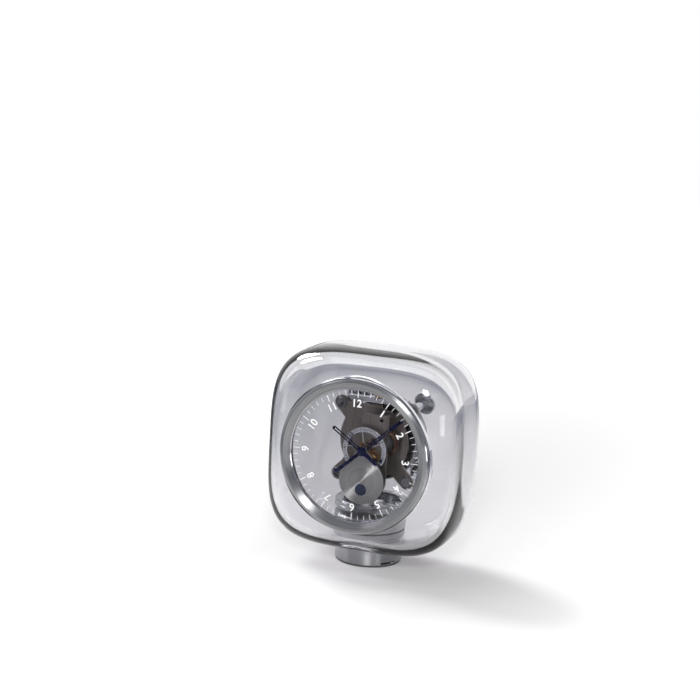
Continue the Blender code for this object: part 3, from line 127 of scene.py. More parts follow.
def startMaterial(name, settings):
    material = bpy.data.materials.new(name)
    material.use_nodes = True
    tree = material.node_tree
    tree.nodes.clear()
    shader = addNode(tree, "ShaderNodeBsdfPrincipled", settings)
    output = addNode(tree, "ShaderNodeOutputMaterial", links={"Surface": shader.outputs["BSDF"]})
    return material, tree, shader, output


def pointFrom(tree, centre=(0, 0, 0), scale=(1, 1, 1)):
    place = addNode(tree, "ShaderNodeTexCoord")
    settings = {"Location": [-c * s for c, s in zip(centre, scale)], "Scale": scale}
    return addNode(tree, "ShaderNodeMapping", settings, {"Vector": place.outputs["Object"]}).outputs["Vector"]


# Settings that spread the middle of a noise, or any other part of a value, between two levels
def between(low, high, start=0.3, end=0.7):
    return {"From Min": start, "From Max": end, "To Min": low, "To Max": high}


# A grain mixes two tints, and where it is asked to, spreads the roughness and raises the surface
def addGrain(tree, shader, grain, dark, light, roughness=None, bump=None):
    share = addNode(tree, "ShaderNodeMapRange", between(0, 1), {"Value": grain})
    tints = {"data_type": "RGBA", 6: linear(dark), 7: linear(light)}
    tint = addNode(tree, "ShaderNodeMix", tints, {0: share.outputs["Result"]})
    tree.links.new(tint.outputs[2], shader.inputs["Base Color"])
    if roughness:
        worn = addNode(tree, "ShaderNodeMapRange", between(*roughness), {"Value": grain})
        tree.links.new(worn.outputs["Result"], shader.inputs["Roughness"])
    if bump:
        settings = {"Strength": bump[0], "Distance": bump[1]}
        raised = addNode(tree, "ShaderNodeBump", settings, {"Height": grain})
        tree.links.new(raised.outputs["Normal"], shader.inputs["Normal"])


# Settings that turn a direction on the object into one in the world
toWorld = {"vector_type": "VECTOR", "convert_from": "OBJECT", "convert_to": "WORLD"}


# Turned steel: fine rings left by the tool round an axis, which stretch a highlight into fans
def turnedMetal(name, look, axis, centre):
    rough = look["roughness"]
    settings = {"Metallic": 1.0, "Anisotropic": look["stretch"], "Roughness": rough}
    material, tree, shader, _ = startMaterial(name, settings)
    point = pointFrom(tree, centre)
    flatten = [1 - abs(a) for a in axis]
    along = addNode(tree, "ShaderNodeVectorMath", {"operation": "DOT_PRODUCT", 1: axis}, {0: point})
    across = addNode(tree, "ShaderNodeVectorMath", {"operation": "MULTIPLY", 1: flatten}, {0: point})
    radius = addNode(tree, "ShaderNodeVectorMath", {"operation": "LENGTH"}, {0: across.outputs["Vector"]})
    sides = {"X": radius.outputs["Value"], "Y": along.outputs["Value"]}
    rings = addNode(tree, "ShaderNodeCombineXYZ", links=sides)
    noise = {"Scale": 1 / look["grain"], "Detail": 4, "Roughness": 0.65}
    grain = addNode(tree, "ShaderNodeTexNoise", noise, {"Vector": rings.outputs["Vector"]}).outputs["Fac"]
    spread = (rough - 0.05, rough + 0.07)
    addGrain(tree, shader, grain, look["dark"], look["light"], spread, (look["bump"], 0.02 * mm))
    ringwise = addNode(tree, "ShaderNodeVectorMath", {"operation": "CROSS_PRODUCT", 0: axis}, {1: point})
    turned = addNode(tree, "ShaderNodeVectorTransform", toWorld, {"Vector": ringwise.outputs["Vector"]})
    surface = addNode(tree, "ShaderNodeNewGeometry")
    sides = {0: turned.outputs["Vector"], 1: surface.outputs["Normal"]}
    tangent = addNode(tree, "ShaderNodeVectorMath", {"operation": "CROSS_PRODUCT"}, sides)
    tree.links.new(tangent.outputs["Vector"], shader.inputs["Tangent"])
    return material


# Polished steel: a bright mirror with faint smudges and wiping marks
def polishedMetal(name, dark, light, roughness):
    material, tree, shader, _ = startMaterial(name, {"Metallic": 1.0, "Roughness": roughness})
    noise = {"Scale": 1 / (9 * mm), "Detail": 2}
    smudge = addNode(tree, "ShaderNodeTexNoise", noise, {"Vector": pointFrom(tree)})
    spread = between(roughness - 0.4 * roughness, roughness + 0.4 * roughness)
    soft = addNode(tree, "ShaderNodeMapRange", spread, {"Value": smudge.outputs["Fac"]})
    tree.links.new(soft.outputs["Result"], shader.inputs["Roughness"])
    wipe = addNode(tree, "ShaderNodeTexNoise", {"Scale": 70, "Detail": 3}, {"Vector": pointFrom(tree)})
    addGrain(tree, shader, wipe.outputs["Fac"], dark, light)
    return material


# Grained nickel: straight vertical lines drawn with an emery file, 0.7 mm apart so that they show
def grainedMetal(name, dark, light, roughness):
    grain = 0.7 * mm
    settings = {"Metallic": 1.0, "Roughness": roughness, "Anisotropic": 0.5}
    material, tree, shader, _ = startMaterial(name, settings)
    stretched = pointFrom(tree, scale=(1 / grain, 0.1 / grain, 0.012 / grain))
    noise = {"Scale": 1.0, "Detail": 4, "Roughness": 0.7}
    lines = addNode(tree, "ShaderNodeTexNoise", noise, {"Vector": stretched}).outputs["Fac"]
    addGrain(tree, shader, lines, dark, light, (roughness - 0.07, roughness + 0.07), (0.5, 0.03 * mm))
    sideways = addNode(tree, "ShaderNodeVectorTransform", {**toWorld, "Vector": (1, 0, 0)})
    tree.links.new(sideways.outputs["Vector"], shader.inputs["Tangent"])
    return material


# Lead crystal and float glass: clear all through, let lamps reach what stands inside
def clearGlass(name, colour, ior, depth=0.0, shade="FFFFFF"):
    settings = {"Base Color": linear(colour), "Roughness": 0.0, "IOR": ior, "Transmission Weight": 1.0}
    material, tree, shader, output = startMaterial(name, settings)
    rays = addNode(tree, "ShaderNodeLightPath").outputs
    clear = addNode(tree, "ShaderNodeBsdfTransparent", {"Color": linear(shade)})
    sides = {0: rays["Is Shadow Ray"], 1: rays["Is Diffuse Ray"]}
    lighting = addNode(tree, "ShaderNodeMath", {"operation": "MAXIMUM"}, sides)
    sides = {0: lighting.outputs["Value"], 1: shader.outputs["BSDF"], 2: clear.outputs["BSDF"]}
    mixed = addNode(tree, "ShaderNodeMixShader", links=sides)
    tree.links.new(mixed.outputs["Shader"], output.inputs["Surface"])
    if depth:
        body = addNode(tree, "ShaderNodeVolumeAbsorption", {"Color": linear("DDDDE4"), "Density": depth})
        tree.links.new(body.outputs["Volume"], output.inputs["Volume"])
    return material


# Lacquer, ink, rubber and felt: plain colour broken by a fine mottle of their own size
def paintedSurface(name, dark, light, roughness, grain, bumpDepth=0.0, coat=0.0):
    settings = {"Roughness": roughness, "Coat Weight": coat, "Coat Roughness": 0.08}
    material, tree, shader, _ = startMaterial(name, settings)
    noise = {"Scale": 1 / grain, "Detail": 4, "Roughness": 0.6}
    mottle = addNode(tree, "ShaderNodeTexNoise", noise, {"Vector": pointFrom(tree)}).outputs["Fac"]
    bump = (0.6, bumpDepth) if bumpDepth else None
    addGrain(tree, shader, mottle, dark, light, (roughness - 0.05, roughness + 0.05), bump)
    return material


def turnedLook(*values):
    return dict(zip(("dark", "light", "roughness", "grain", "bump", "stretch"), values))


satinLook = turnedLook("8E8F92", "B4B5B7", 0.38, 0.5 * mm, 0.2, 0.85)
bezelLook = turnedLook("7A7B7C", "B4B5B6", 0.36, 0.5 * mm, 0.2, 0.95)
ringLook = turnedLook("97989B", "BDBEC0", 0.15, 0.5 * mm, 0.12, 0.4)
dialLook = turnedLook("92928F", "C4C3BF", 0.36, 0.45 * mm, 0.15, 0.95)
brassLook = turnedLook("7A5430", "A97F48", 0.26, 0.4 * mm, 0.2, 0.3)
balanceLook = turnedLook("A4A4A6", "CECECF", 0.36, 0.5 * mm, 0.2, 0.85)
# Gilt brass darkened for the barrel, its great wheel and pulley: painted shade
shadedBrassLook = turnedLook("46301F", "765234", 0.3, 0.4 * mm, 0.2, 0.3)

crystalClear = clearGlass("lead_crystal_polished", "F6F6F8", 1.54, 3, "DEDCDE")
dialClear = clearGlass("float_glass_dial", "D3D3D7", 1.18)
bezelSatin = turnedMetal("bezel_steel_satin_turned", bezelLook, towardsBack, dialAt)
footSatin = turnedMetal("foot_steel_satin_turned", satinLook, upwards, footAt)
wireSatin = turnedMetal("balance_steel_satin_turned", balanceLook, upwards, wireAt)
wirePolished = turnedMetal("balance_steel_polished_turned", ringLook, upwards, wireAt)
drumSatin = turnedMetal("drum_steel_satin_turned", satinLook, towardsBack, plateAt)
brightSteel = polishedMetal("steel_polished", "B4B4B8", "D2D2D5", 0.07)
plateNickel = grainedMetal("nickel_grained_upright", "706863", "958C86", 0.33)
dialTurned = turnedMetal("silvered_brass_turned", dialLook, towardsBack, moonAt)
brassDial = turnedMetal("gilt_brass_turned_dial_axis", brassLook, towardsBack, dialAt)
# Painted shade: the darkened gilt brass, turned round the barrel's axis
brassShaded = turnedMetal("gilt_brass_shaded_turned_barrel_axis", shadedBrassLook, towardsBack, barrelAt)
brassPlain = polishedMetal("gilt_brass_polished", "A37538", "CFA55F", 0.18)
bluedSteel = polishedMetal("steel_blued_by_heat", "04082C", "0B1450", 0.22)
# Near-black painted shade, laid into the drum's face, sunk bands and hollow and into the collar's groove
blackShade = paintedSurface("painted_shade_black", "060607", "101013", 0.24, 0.6 * mm, 0.01 * mm)
moonBlue = paintedSurface("moon_lacquer_blue", "041130", "081C44", 0.4, 2 * mm)
monthWhite = paintedSurface("month_ring_lacquer_pale", "C2C4CC", "E4E5EA", 0.3, 1.2 * mm, 0, 0.3)
whiteInk = paintedSurface("numeral_ink_white", "F6F6F6", "FFFFFF", 0.5, 0.4 * mm)
blueInk = paintedSurface("mark_ink_blue", "060C28", "0C1436", 0.5, 0.4 * mm)
rubyJewel = paintedSurface("synthetic_ruby", "8E0F2E", "C01E46", 0.12, 0.8 * mm, 0, 1.0)
blackRubber = paintedSurface("rubber_moulded_black", "101010", "1C1C1C", 0.7, 0.5 * mm, 0.03 * mm)
greyFelt = paintedSurface("wool_felt_grey", "3A3A3A", "5B5B5B", 0.95, 0.35 * mm, 0.12 * mm)
screwSteel = polishedMetal("screw_steel_grey_polished", "66666A", "88888C", 0.14)
springSteel = polishedMetal("spring_steel_bright", "8A8A90", "B2B2B8", 0.2)
print("materials ready")


# Shape helpers
def moveShape(shape, *matrices):
    for matrix in matrices:
        bmesh.ops.transform(shape, matrix=matrix, verts=shape.verts)


def roundEdges(shape, width, segments=2):
    sharper = 28  # degrees, so that the facets of a round stay as they are
    bmesh.ops.recalc_face_normals(shape, faces=shape.faces)
    pairs = [edge for edge in shape.edges if len(edge.link_faces) == 2]
    edges = [edge for edge in pairs if math.degrees(edge.calc_face_angle(0)) > sharper]
    if width and edges:
        bmesh.ops.bevel(shape, geom=edges, offset=width, offset_type="OFFSET", segments=segments,
                        profile=0.5, affect="EDGES", clamp_overlap=True, material=-1)


# A closed outline of (radius, place along the axis), spun round an axis through a point
def spunShape(outline, at, axis, steps=96, edge=0.0):
    shape = bmesh.new()
    across = Vector((1, 0, 0))
    points = [shape.verts.new(across * radius + axis * along) for radius, along in outline]
    edges = []
    for first, second, start, end in zip(points, points[1:] + points[:1], outline, outline[1:] + outline[:1]):
        if start[0] > 0 or end[0] > 0:
            edges.append(shape.edges.new((first, second)))
    bmesh.ops.spin(shape, geom=points + edges, cent=(0, 0, 0), axis=axis, angle=fullTurn,
                   steps=steps, use_merge=True)
    bmesh.ops.remove_doubles(shape, verts=shape.verts, dist=0.0005 * mm)
    roundEdges(shape, edge)
    moveShape(shape, Matrix.Translation(Vector(at) - axis * Vector(at).dot(axis)))
    return shape


def tubeShape(inner, outer, at, low, high, axis, steps=96, edge=0.0):
    return spunShape([(inner, high), (outer, high), (outer, low), (inner, low)], at, axis, steps, edge)


def rodShape(radius, at, low, high, axis, steps=96, edge=0.0):
    return tubeShape(0, radius, at, low, high, axis, steps, edge)


def boxShape(size):
    shape = bmesh.new()
    bmesh.ops.create_cube(shape, size=1)
    bmesh.ops.scale(shape, vec=size, verts=shape.verts)
    return shape


# A flat outline with holes, extruded along Y, or along Z when it lies level
def flatShape(outline, holes, low, high, at, edge=0.0, turn=0.0, level=False):
    shape = bmesh.new()
    axis = upwards if level else towardsBack
    for points in [outline] + list(holes):
        verts = [shape.verts.new((x, y, low) if level else (x, low, y)) for x, y in points]
        for first, second in zip(verts, verts[1:] + verts[:1]):
            shape.edges.new((first, second))
    bmesh.ops.triangle_fill(shape, use_beauty=True, use_dissolve=True, edges=shape.edges[:])
    raised = bmesh.ops.extrude_face_region(shape, geom=shape.faces[:])["geom"]
    raised = [part for part in raised if isinstance(part, bmesh.types.BMVert)]
    bmesh.ops.translate(shape, vec=axis * (high - low), verts=raised)
    roundEdges(shape, edge)
    moveShape(shape, Matrix.Rotation(turn, 4, axis), Matrix.Translation(at))
    return shape


def ringPoints(radius, count=64, at=(0, 0), start=0.0, end=fullTurn):
    whole = abs(end - start - fullTurn) < 1e-9
    angles = [start + (end - start) * i / count for i in range(count if whole else count + 1)]
    return [(at[0] + radius * math.sin(angle), at[1] + radius * math.cos(angle)) for angle in angles]


def toothedOutline(teeth, tip, depth, pointed=0.12):
    outline = []
    root = tip - depth
    for tooth in range(teeth):
        for share, radius in ((-0.32, root), (-pointed, tip), (pointed, tip), (0.32, root)):
            angle = fullTurn * (tooth + share) / teeth
            outline.append((radius * math.sin(angle), radius * math.cos(angle)))
    return outline


def spokeGaps(hub, rim, count, halfSpoke, turn=0.0):
    outerBite, innerBite = math.asin(halfSpoke / rim), math.asin(min(1, halfSpoke / hub))
    gaps = []
    for index in range(count):
        start, end = (turn + fullTurn * spoke / count for spoke in (index, index + 1))
        outer = ringPoints(rim, 10, (0, 0), start + outerBite, end - outerBite)
        gaps.append(outer + ringPoints(hub, 4, (0, 0), end - innerBite, start + innerBite))
    return gaps


def barOutline(low, high, radius, count=12):
    run = Vector(high) - Vector(low)
    turn = math.atan2(run.x, run.y)
    farEnd = ringPoints(radius, count, high, turn - quarter, turn + quarter)
    return farEnd + ringPoints(radius, count, low, turn + quarter, turn + 3 * quarter)


def meshFrom(name, shape):
    mesh = bpy.data.meshes.new(name)
    shape.to_mesh(mesh)
    shape.free()
    return mesh


def addObject(name, data):
    thing = bpy.data.objects.new(name, data)
    bpy.context.scene.collection.objects.link(thing)
    return thing


# The shape that an object has after its modifiers, in place of the object
def takeShape(thing):
    bpy.context.view_layer.update()
    graph = bpy.context.evaluated_depsgraph_get()
    shape = bmesh.new()
    shape.from_mesh(bpy.data.meshes.new_from_object(thing.evaluated_get(graph)))
    bpy.data.objects.remove(thing, do_unlink=True)
    return shape


def joinShapes(*shapes):
    whole = bmesh.new()
    for shape in shapes:
        mesh = meshFrom("part", shape)
        whole.from_mesh(mesh)
        bpy.data.meshes.remove(mesh)
    return whole


def addPiece(name, shape, materials, body, nodes=(), pick=None, sharp=33, even=True):
    materials = materials if isinstance(materials, list) else [materials]
    if pick:
        for face in shape.faces:
            face.material_index = pick(face.calc_center_median())
    mesh = meshFrom(name, shape)
    for material in materials:
        mesh.materials.append(material)
    mesh.shade_smooth()
    mesh.set_sharp_from_angle(angle=math.radians(sharp))
    piece = addObject(name, mesh)
    if even:
        piece.modifiers.new("evenShading", "WEIGHTED_NORMAL").keep_sharp = True
    if body:  # a piece that stretches between two bodies is left on none
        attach(piece, body)
    if nodes:
        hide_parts(*nodes)
    return piece


def applyBooleans(shape, cutters, operation="DIFFERENCE"):
    work = addObject("workpiece", meshFrom("workpiece", shape))
    helpers = []
    for cutter in cutters:
        bmesh.ops.recalc_face_normals(cutter, faces=cutter.faces)
        helpers.append(addObject("cutter", meshFrom("cutter", cutter)))
        boolean = work.modifiers.new("cut", "BOOLEAN")
        boolean.operation = operation
        boolean.object = helpers[-1]
    result = takeShape(work)
    for helper in helpers:
        bpy.data.objects.remove(helper, do_unlink=True)
    return result


# Crystal case
caseSizes = {
    "half": Vector((123 * mm, 73 * mm, 123.75 * mm)), "wall": 9 * mm, "floor": 12 * mm,
    "cornerPower": 3.93, "edgePower": 4.2, "innerEdgePower": 5.0, "gridPower": 0.7,
    "outerCuts": 63, "innerCuts": 55,
    "openingRadius": 95 * mm, "openingDeep": 0.6, "neckRadius": 33 * mm,
    "footRecess": 42 * mm, "footSeat": 23.5 * mm, "collarRecess": 45 * mm,
    "boltHole": 4 * mm, "boltRecess": 8.6 * mm, "boltSink": 3 * mm,
}


def cushionShape(half, cuts, edge):
    shape = bmesh.new()
    bmesh.ops.create_cube(shape, size=2)
    bmesh.ops.subdivide_edges(shape, edges=shape.edges, cuts=cuts, use_grid_fill=True)
    corner = caseSizes["cornerPower"]
    for vert in shape.verts:
        vert.co = Vector(math.copysign(abs(c) ** caseSizes["gridPower"], c) for c in vert.co)
        x, y, z = (abs(c) for c in vert.co)
        face = (x**corner + z**corner) ** (1 / corner)
        reach = (face**edge + y**edge) ** (1 / edge)
        vert.co = Vector(a * b for a, b in zip(vert.co / reach, half))
    return shape


def makeCase():
    s = caseSizes
    half, wall = s["half"], s["wall"]
    centre = Vector((0, 0, highest("crystal_body").z - half.z))
    innerHalf = Vector((half.x - wall, half.y - wall, half.z - (wall + s["floor"]) / 2))
    innerCentre = centre + upwards * (s["floor"] - wall) / 2
    innerFloor = innerCentre.z - innerHalf.z
    outer = cushionShape(half, s["outerCuts"], s["edgePower"])
    moveShape(outer, Matrix.Translation(centre))
    bmesh.ops.recalc_face_normals(outer, faces=outer.faces)
    hollow = cushionShape(innerHalf, s["innerCuts"], s["innerEdgePower"])
    moveShape(hollow, Matrix.Translation(innerCentre))
    behind = half.y + 2 * mm
    tools = [
        hollow,
        rodShape(s["openingRadius"], dialAt, -behind, -s["openingDeep"] * half.y, towardsBack, fineSteps),
        rodShape(s["neckRadius"], footAt, 0, innerFloor + 3 * mm, upwards),
        rodShape(s["footRecess"], footAt, 0, s["footSeat"], upwards),
        rodShape(s["collarRecess"], footAt, innerFloor + 0.1 * mm, innerFloor + 20 * mm, upwards),
    ]
    for corner in corners:
        seat = highest("rear_bolt_" + corner).y - s["boltSink"]
        tools.append(rodShape(s["boltHole"], postAt[corner], 0.5 * half.y, behind, towardsBack, 32))
        tools.append(rodShape(s["boltRecess"], postAt[corner], seat, behind, towardsBack, 48))
    body = applyBooleans(outer, tools)
    addPiece("crystalBody", body, crystalClear, "case", ["crystal_body"], sharp=35, even=False)
    print("crystal case made")


makeCase()

# Front window
windowSizes = {
    "lip": 2.45 * mm, "chamfer": 1.4 * mm, "ridgeFromEdge": 6.6 * mm, "ridgeRound": 0.9 * mm,
    "shoulder": 2 * mm, "shoulderFall": 1.6 * mm, "edgeFall": 4 * mm, "flange": 6.6 * mm,
    "spigotIn": 2.4 * mm, "spigotLong": 15.3 * mm, "bore": 80.2 * mm, "rebate": 84.8 * mm,
    "retainerWide": 2.6 * mm, "sealRibs": 3, "sealDeep": 0.5 * mm,
}
markSizes = {
    "outer": 78.9 * mm, "hourLong": 8.4 * mm, "minuteLong": 5.4 * mm, "hourWide": 0.75 * mm,
    "minuteWide": 0.5 * mm, "inkThick": 0.06 * mm, "numeralRadius": 63.6 * mm, "numeralTall": 9.4 * mm,
}


def makeBezel():
    s = windowSizes
    outer, front = halfWidth("bezel"), lowest("bezel").y
    ridge, spigot = outer - s["ridgeFromEdge"], outer - s["spigotIn"]
    lipFront = lowest("dial_glass").y - 0.4 * mm - s["lip"]
    outline = [
        (s["bore"], lipFront + s["lip"]), (s["bore"], lipFront),
        (s["bore"] + s["chamfer"], lipFront - s["chamfer"]),
        (ridge - s["ridgeRound"], front + s["ridgeRound"]), (ridge + s["ridgeRound"], front),
        (outer - s["shoulder"], front + s["shoulderFall"]),
        (outer, front + s["edgeFall"]), (outer, front + s["flange"]),
        (spigot, front + s["flange"]), (spigot, front + s["spigotLong"]),
        (s["rebate"], front + s["spigotLong"]), (s["rebate"], lipFront + s["lip"]),
    ]
    shape = spunShape(outline, dialAt, towardsBack, fineSteps, 0.35 * mm)
    polishedFrom = outer - s["shoulder"] - 1 * mm
    polishedTo = s["bore"] + s["chamfer"] + 0.3 * mm

    def isPolished(point):
        radius = (point - dialAt - towardsBack * point.y).length
        return 1 if radius > polishedFrom or radius < polishedTo else 0

    addPiece("bezelRing", shape, [bezelSatin, brightSteel], "window", ["bezel"], isPolished)


def makeGlass():
    s = windowSizes
    front, back = frontAndBack("dial_glass")
    radius = halfWidth("dial_glass")
    glass = rodShape(radius, dialAt, front, back, towardsBack, fineSteps)
    roundEdges(glass, 0.3 * mm)
    addPiece("dialGlassPane", glass, dialClear, "window", ["dial_glass"])
    front, back = frontAndBack("glass_retainer")
    inner = radius - s["retainerWide"]
    retainer = tubeShape(inner, radius, dialAt, front, back, towardsBack, fineSteps, 0.3 * mm)
    addPiece("glassRetainingRing", retainer, bezelSatin, "window", ["glass_retainer"])
    front, back = frontAndBack("window_seal")
    outer = halfWidth("window_seal")
    inner = halfWidth("bezel") - s["spigotIn"] + 0.3 * mm
    outline = [(inner, back), (inner, front)]
    waves = 2 * s["sealRibs"]
    for wave in range(waves + 1):
        outline.append((outer - (s["sealDeep"] if wave % 2 else 0), front + (back - front) * wave / waves))
    seal = spunShape(list(reversed(outline)), dialAt, towardsBack, fineSteps)
    addPiece("windowSealRing", seal, blackRubber, "window", ["window_seal"])


# Marks made upright at a radius from the dial's centre, each turned to its own place
def dialRing(marks, radii, front):
    for index, (mark, radius) in enumerate(zip(marks, radii)):
        angle = fullTurn * index / len(marks)
        moveShape(mark, Matrix.Translation((0, front, radius)), Matrix.Rotation(angle, 4, "Y"))
    ring = joinShapes(*marks)
    moveShape(ring, Matrix.Translation(dialAt))
    return ring


def makeMarks():
    s = markSizes
    front = lowest("dial_glass").y - 2.2 * s["inkThick"]
    kinds = ["minute" if minute % 5 else "hour" for minute in range(60)]
    ticks = [boxShape((s[kind + "Wide"], s["inkThick"], s[kind + "Long"])) for kind in kinds]
    marks = dialRing(ticks, [s["outer"] - s[kind + "Long"] / 2 for kind in kinds], front)
    addPiece("minuteTrackMarks", marks, whiteInk, "window", even=False)
    figures = [textShape(str(hour or 12), s["numeralTall"], s["inkThick"]) for hour in range(12)]
    numerals = dialRing(figures, [s["numeralRadius"]] * 12, front)
    addPiece("hourNumerals", numerals, whiteInk, "window", even=False)


# Plain figures as a flat mesh that faces the front, centred on its own middle
def textShape(words, tall, thick):
    curve = bpy.data.curves.new("figures", "FONT")
    curve.body = words
    curve.size = tall / 0.72  # a figure is 0.72 of the letter size
    curve.align_x = curve.align_y = "CENTER"
    curve.extrude = thick / 2
    curve.offset = 0.02 * tall
    curve.resolution_u = 4
    shape = takeShape(addObject("figures", curve))
    bmesh.ops.remove_doubles(shape, verts=shape.verts, dist=0.001 * mm)
    xs, ys = [v.co.x for v in shape.verts], [v.co.y for v in shape.verts]
    centre = Vector(((min(xs) + max(xs)) / 2, (min(ys) + max(ys)) / 2, 0))
    moveShape(shape, Matrix.Translation(-centre), Matrix.Rotation(quarter, 4, "X"))
    bmesh.ops.recalc_face_normals(shape, faces=shape.faces)
    return shape


makeBezel()
makeGlass()
makeMarks()
print("window made")

# Hands, blued all over
handSizes = {
    "minuteTurn": math.radians(48), "minuteTip": 67.5 * mm, "minuteTail": 43 * mm, "minuteHalf": 2.1 * mm,
    "minuteBoss": 4.5 * mm, "minuteBore": 1.9 * mm, "minuteRail": 1.5 * mm,
    "hourTurn": math.radians(304), "hourTip": 46.5 * mm, "hourTail": 25 * mm, "hourHalf": 2.5 * mm,
    "hourBoss": 5.7 * mm, "hourBore": 3.4 * mm, "hourRail": 1.65 * mm,
    "cross": 49 * mm, "crossHalf": 3.25 * mm, "crossTall": 0.8 * mm, "edge": 0.18 * mm,
}


def handOutline(tip, tail, half, boss, cross):
    s = handSizes
    bite = math.asin(half / boss)
    right = []
    if cross:
        high, low = cross + s["crossTall"], cross - s["crossTall"]
        right = [(half, high), (s["crossHalf"], high), (s["crossHalf"], low), (half, low)]
    return (
        ringPoints(half, 12, (0, tip - half), -quarter, quarter)
        + right
        + ringPoints(boss, 16, (0, 0), bite, math.pi - bite)
        + ringPoints(half, 12, (0, half - tail), quarter, 3 * quarter)
        + ringPoints(boss, 16, (0, 0), math.pi + bite, fullTurn - bite)
        + [(-x, z) for x, z in reversed(right)]
    )


def makeHands():
    s = handSizes
    hands = [  # each one's kind, body, place of the cross bar and end of the slot
        ("minute", "minute_arbor", s["cross"], s["cross"] - 1.4 * mm),
        ("hour", "hour_pipe", None, s["hourTip"] - 3 * mm),
    ]
    for kind, body, cross, high in hands:
        half, boss, turn = s[kind + "Half"], s[kind + "Boss"], s[kind + "Turn"]
        outline = handOutline(s[kind + "Tip"], s[kind + "Tail"], half, boss, cross)
        low, side = boss + 2 * mm, half - s[kind + "Rail"]
        holes = [ringPoints(s[kind + "Bore"], 32), [(-side, low), (-side, high), (side, high), (side, low)]]
        hand = flatShape(outline, holes, *frontAndBack(kind + "_hand"), dialAt, s["edge"], turn)
        addPiece(kind + "HandBlued", hand, bluedSteel, body, [kind + "_hand"])
    front, back = frontAndBack("hand_nut")
    radius, bore = halfWidth("hand_nut"), s["minuteBore"]
    dish = [
        (0, back - 0.6 * mm), (bore, back - 0.6 * mm), (bore, back), (radius, back),
        (radius, front + 0.7 * mm), (radius - 0.7 * mm, front),
        (0.9 * mm, front), (0.7 * mm, front + 0.5 * mm), (0, front + 0.5 * mm),
    ]
    nut = spunShape(dish, dialAt, towardsBack, 48, 0.12 * mm)
    addPiece("handNutBlued", nut, bluedSteel, "minute_arbor", ["hand_nut"])


makeHands()
print("hands made")

# Moon plate, moon disc and month ring
moonSizes = {
    "plateRadius": 28.5 * mm, "apexRadius": 4.8 * mm, "bore": 3.95 * mm, "aperture": 7.2 * mm,
    "apertureDrop": 10.8 * mm, "groove": 22.5 * mm, "grooveWide": 0.35 * mm, "grooveDeep": 0.25 * mm,
    "rimWide": 0.3 * mm, "rimProud": 0.6 * mm, "moonRadius": 6.6 * mm, "discThick": 0.6 * mm,
}
monthSizes = {
    "outer": 28 * mm, "inner": 22.4 * mm, "hub": 5.4 * mm, "bore": 3.55 * mm, "spokes": 5,
    "spokeHalf": 0.55 * mm, "turn": math.radians(-9.5), "figureTall": 3.5 * mm, "figureRadius": 25.2 * mm,
    "marks": 48, "marksPerMonth": 4, "tick": (0.7 * mm, 0.05 * mm, 2.4 * mm),
}


def makeMoon():
    s = moonSizes
    front, back = frontAndBack("moon_plate")
    drop = dialAt.z - moonAt.z
    taper = math.acos((s["plateRadius"] - s["apexRadius"]) / drop)
    outline = ringPoints(s["plateRadius"], 96, (0, 0), taper, fullTurn - taper)
    outline += ringPoints(s["apexRadius"], 12, (0, drop), -taper, taper)
    holes = [ringPoints(s["bore"], 40, (0, drop)), ringPoints(s["aperture"], 64, (0, -s["apertureDrop"]))]
    plate = flatShape(outline, holes, front, back, moonAt, 0.22 * mm)
    half = s["grooveWide"] / 2
    inner, outer, bottom = s["groove"] - half, s["groove"] + half, front + s["grooveDeep"]
    ring = tubeShape(inner, outer, moonAt, front - beyond, bottom, towardsBack, 128)
    plate = applyBooleans(plate, [ring])
    addPiece("moonPlateTurned", plate, dialTurned, "case", ["moon_plate"], sharp=25)
    outer, inner = s["aperture"] - slip, s["aperture"] - s["rimWide"]
    outline = [(outer, back), (outer, front - 0.1 * mm), (inner, front + s["rimProud"]), (inner, back)]
    rim = spunShape(outline, moonAt - upwards * s["apertureDrop"], towardsBack, 64, 0.08 * mm)
    addPiece("moonApertureRim", rim, brightSteel, "case")
    front, back = frontAndBack("moon_disc")
    discBack, radius = front + s["discThick"], halfWidth("moon_disc")
    disc = rodShape(radius, moonAt, front, discBack, towardsBack)
    addPiece("moonDiscLacquered", disc, moonBlue, "moon", ["moon_disc"])
    arbor = rodShape(1.2 * mm, moonAt, discBack, back, towardsBack, 24)
    addPiece("moonArbor", arbor, brightSteel, "moon")
    moons = []
    for side in (-1, 1):
        at = moonAt + Vector((side * s["apertureDrop"], 0, 0))
        moons.append(rodShape(s["moonRadius"], at, front - 0.12 * mm, front - slip, towardsBack, 48))
    addPiece("paintedMoons", joinShapes(*moons), brassPlain, "moon")
    outline, hole = toothedOutline(118, radius - 0.05 * mm, 0.7 * mm), ringPoints(radius - 2.2 * mm, 64)
    teeth = flatShape(outline, [hole], front + 0.62 * mm, front + 1.1 * mm, moonAt)
    addPiece("moonWheelTeeth", teeth, brassPlain, "moon")


def makeMonthRing():
    s = monthSizes
    front, back = frontAndBack("month_wheel")
    holes = [ringPoints(s["bore"], 40)]
    holes += spokeGaps(s["hub"], s["inner"], s["spokes"], s["spokeHalf"], s["turn"])
    wheel = flatShape(ringPoints(s["outer"], 120), holes, front, back, dialAt, 0.12 * mm)

    def isBare(point):
        radius = (point - dialAt - towardsBack * point.y).length
        return 0 if s["inner"] < radius < s["outer"] - 0.4 * mm else 1

    looks = [monthWhite, brightSteel]
    addPiece("monthRing", wheel, looks, "month_ring", ["month_wheel"], isBare)
    marks = []
    for index in range(s["marks"]):
        month, week = divmod(index, s["marksPerMonth"])
        if week:
            marks.append(boxShape(s["tick"]))
        else:
            marks.append(textShape(str(month or 12), s["figureTall"], s["tick"][1]))
    ring = dialRing(marks, [s["figureRadius"]] * s["marks"], front - 0.04 * mm)
    addPiece("monthRingFigures", ring, blueInk, "month_ring", even=False)


makeMoon()
makeMonthRing()
print("moon and month work made")

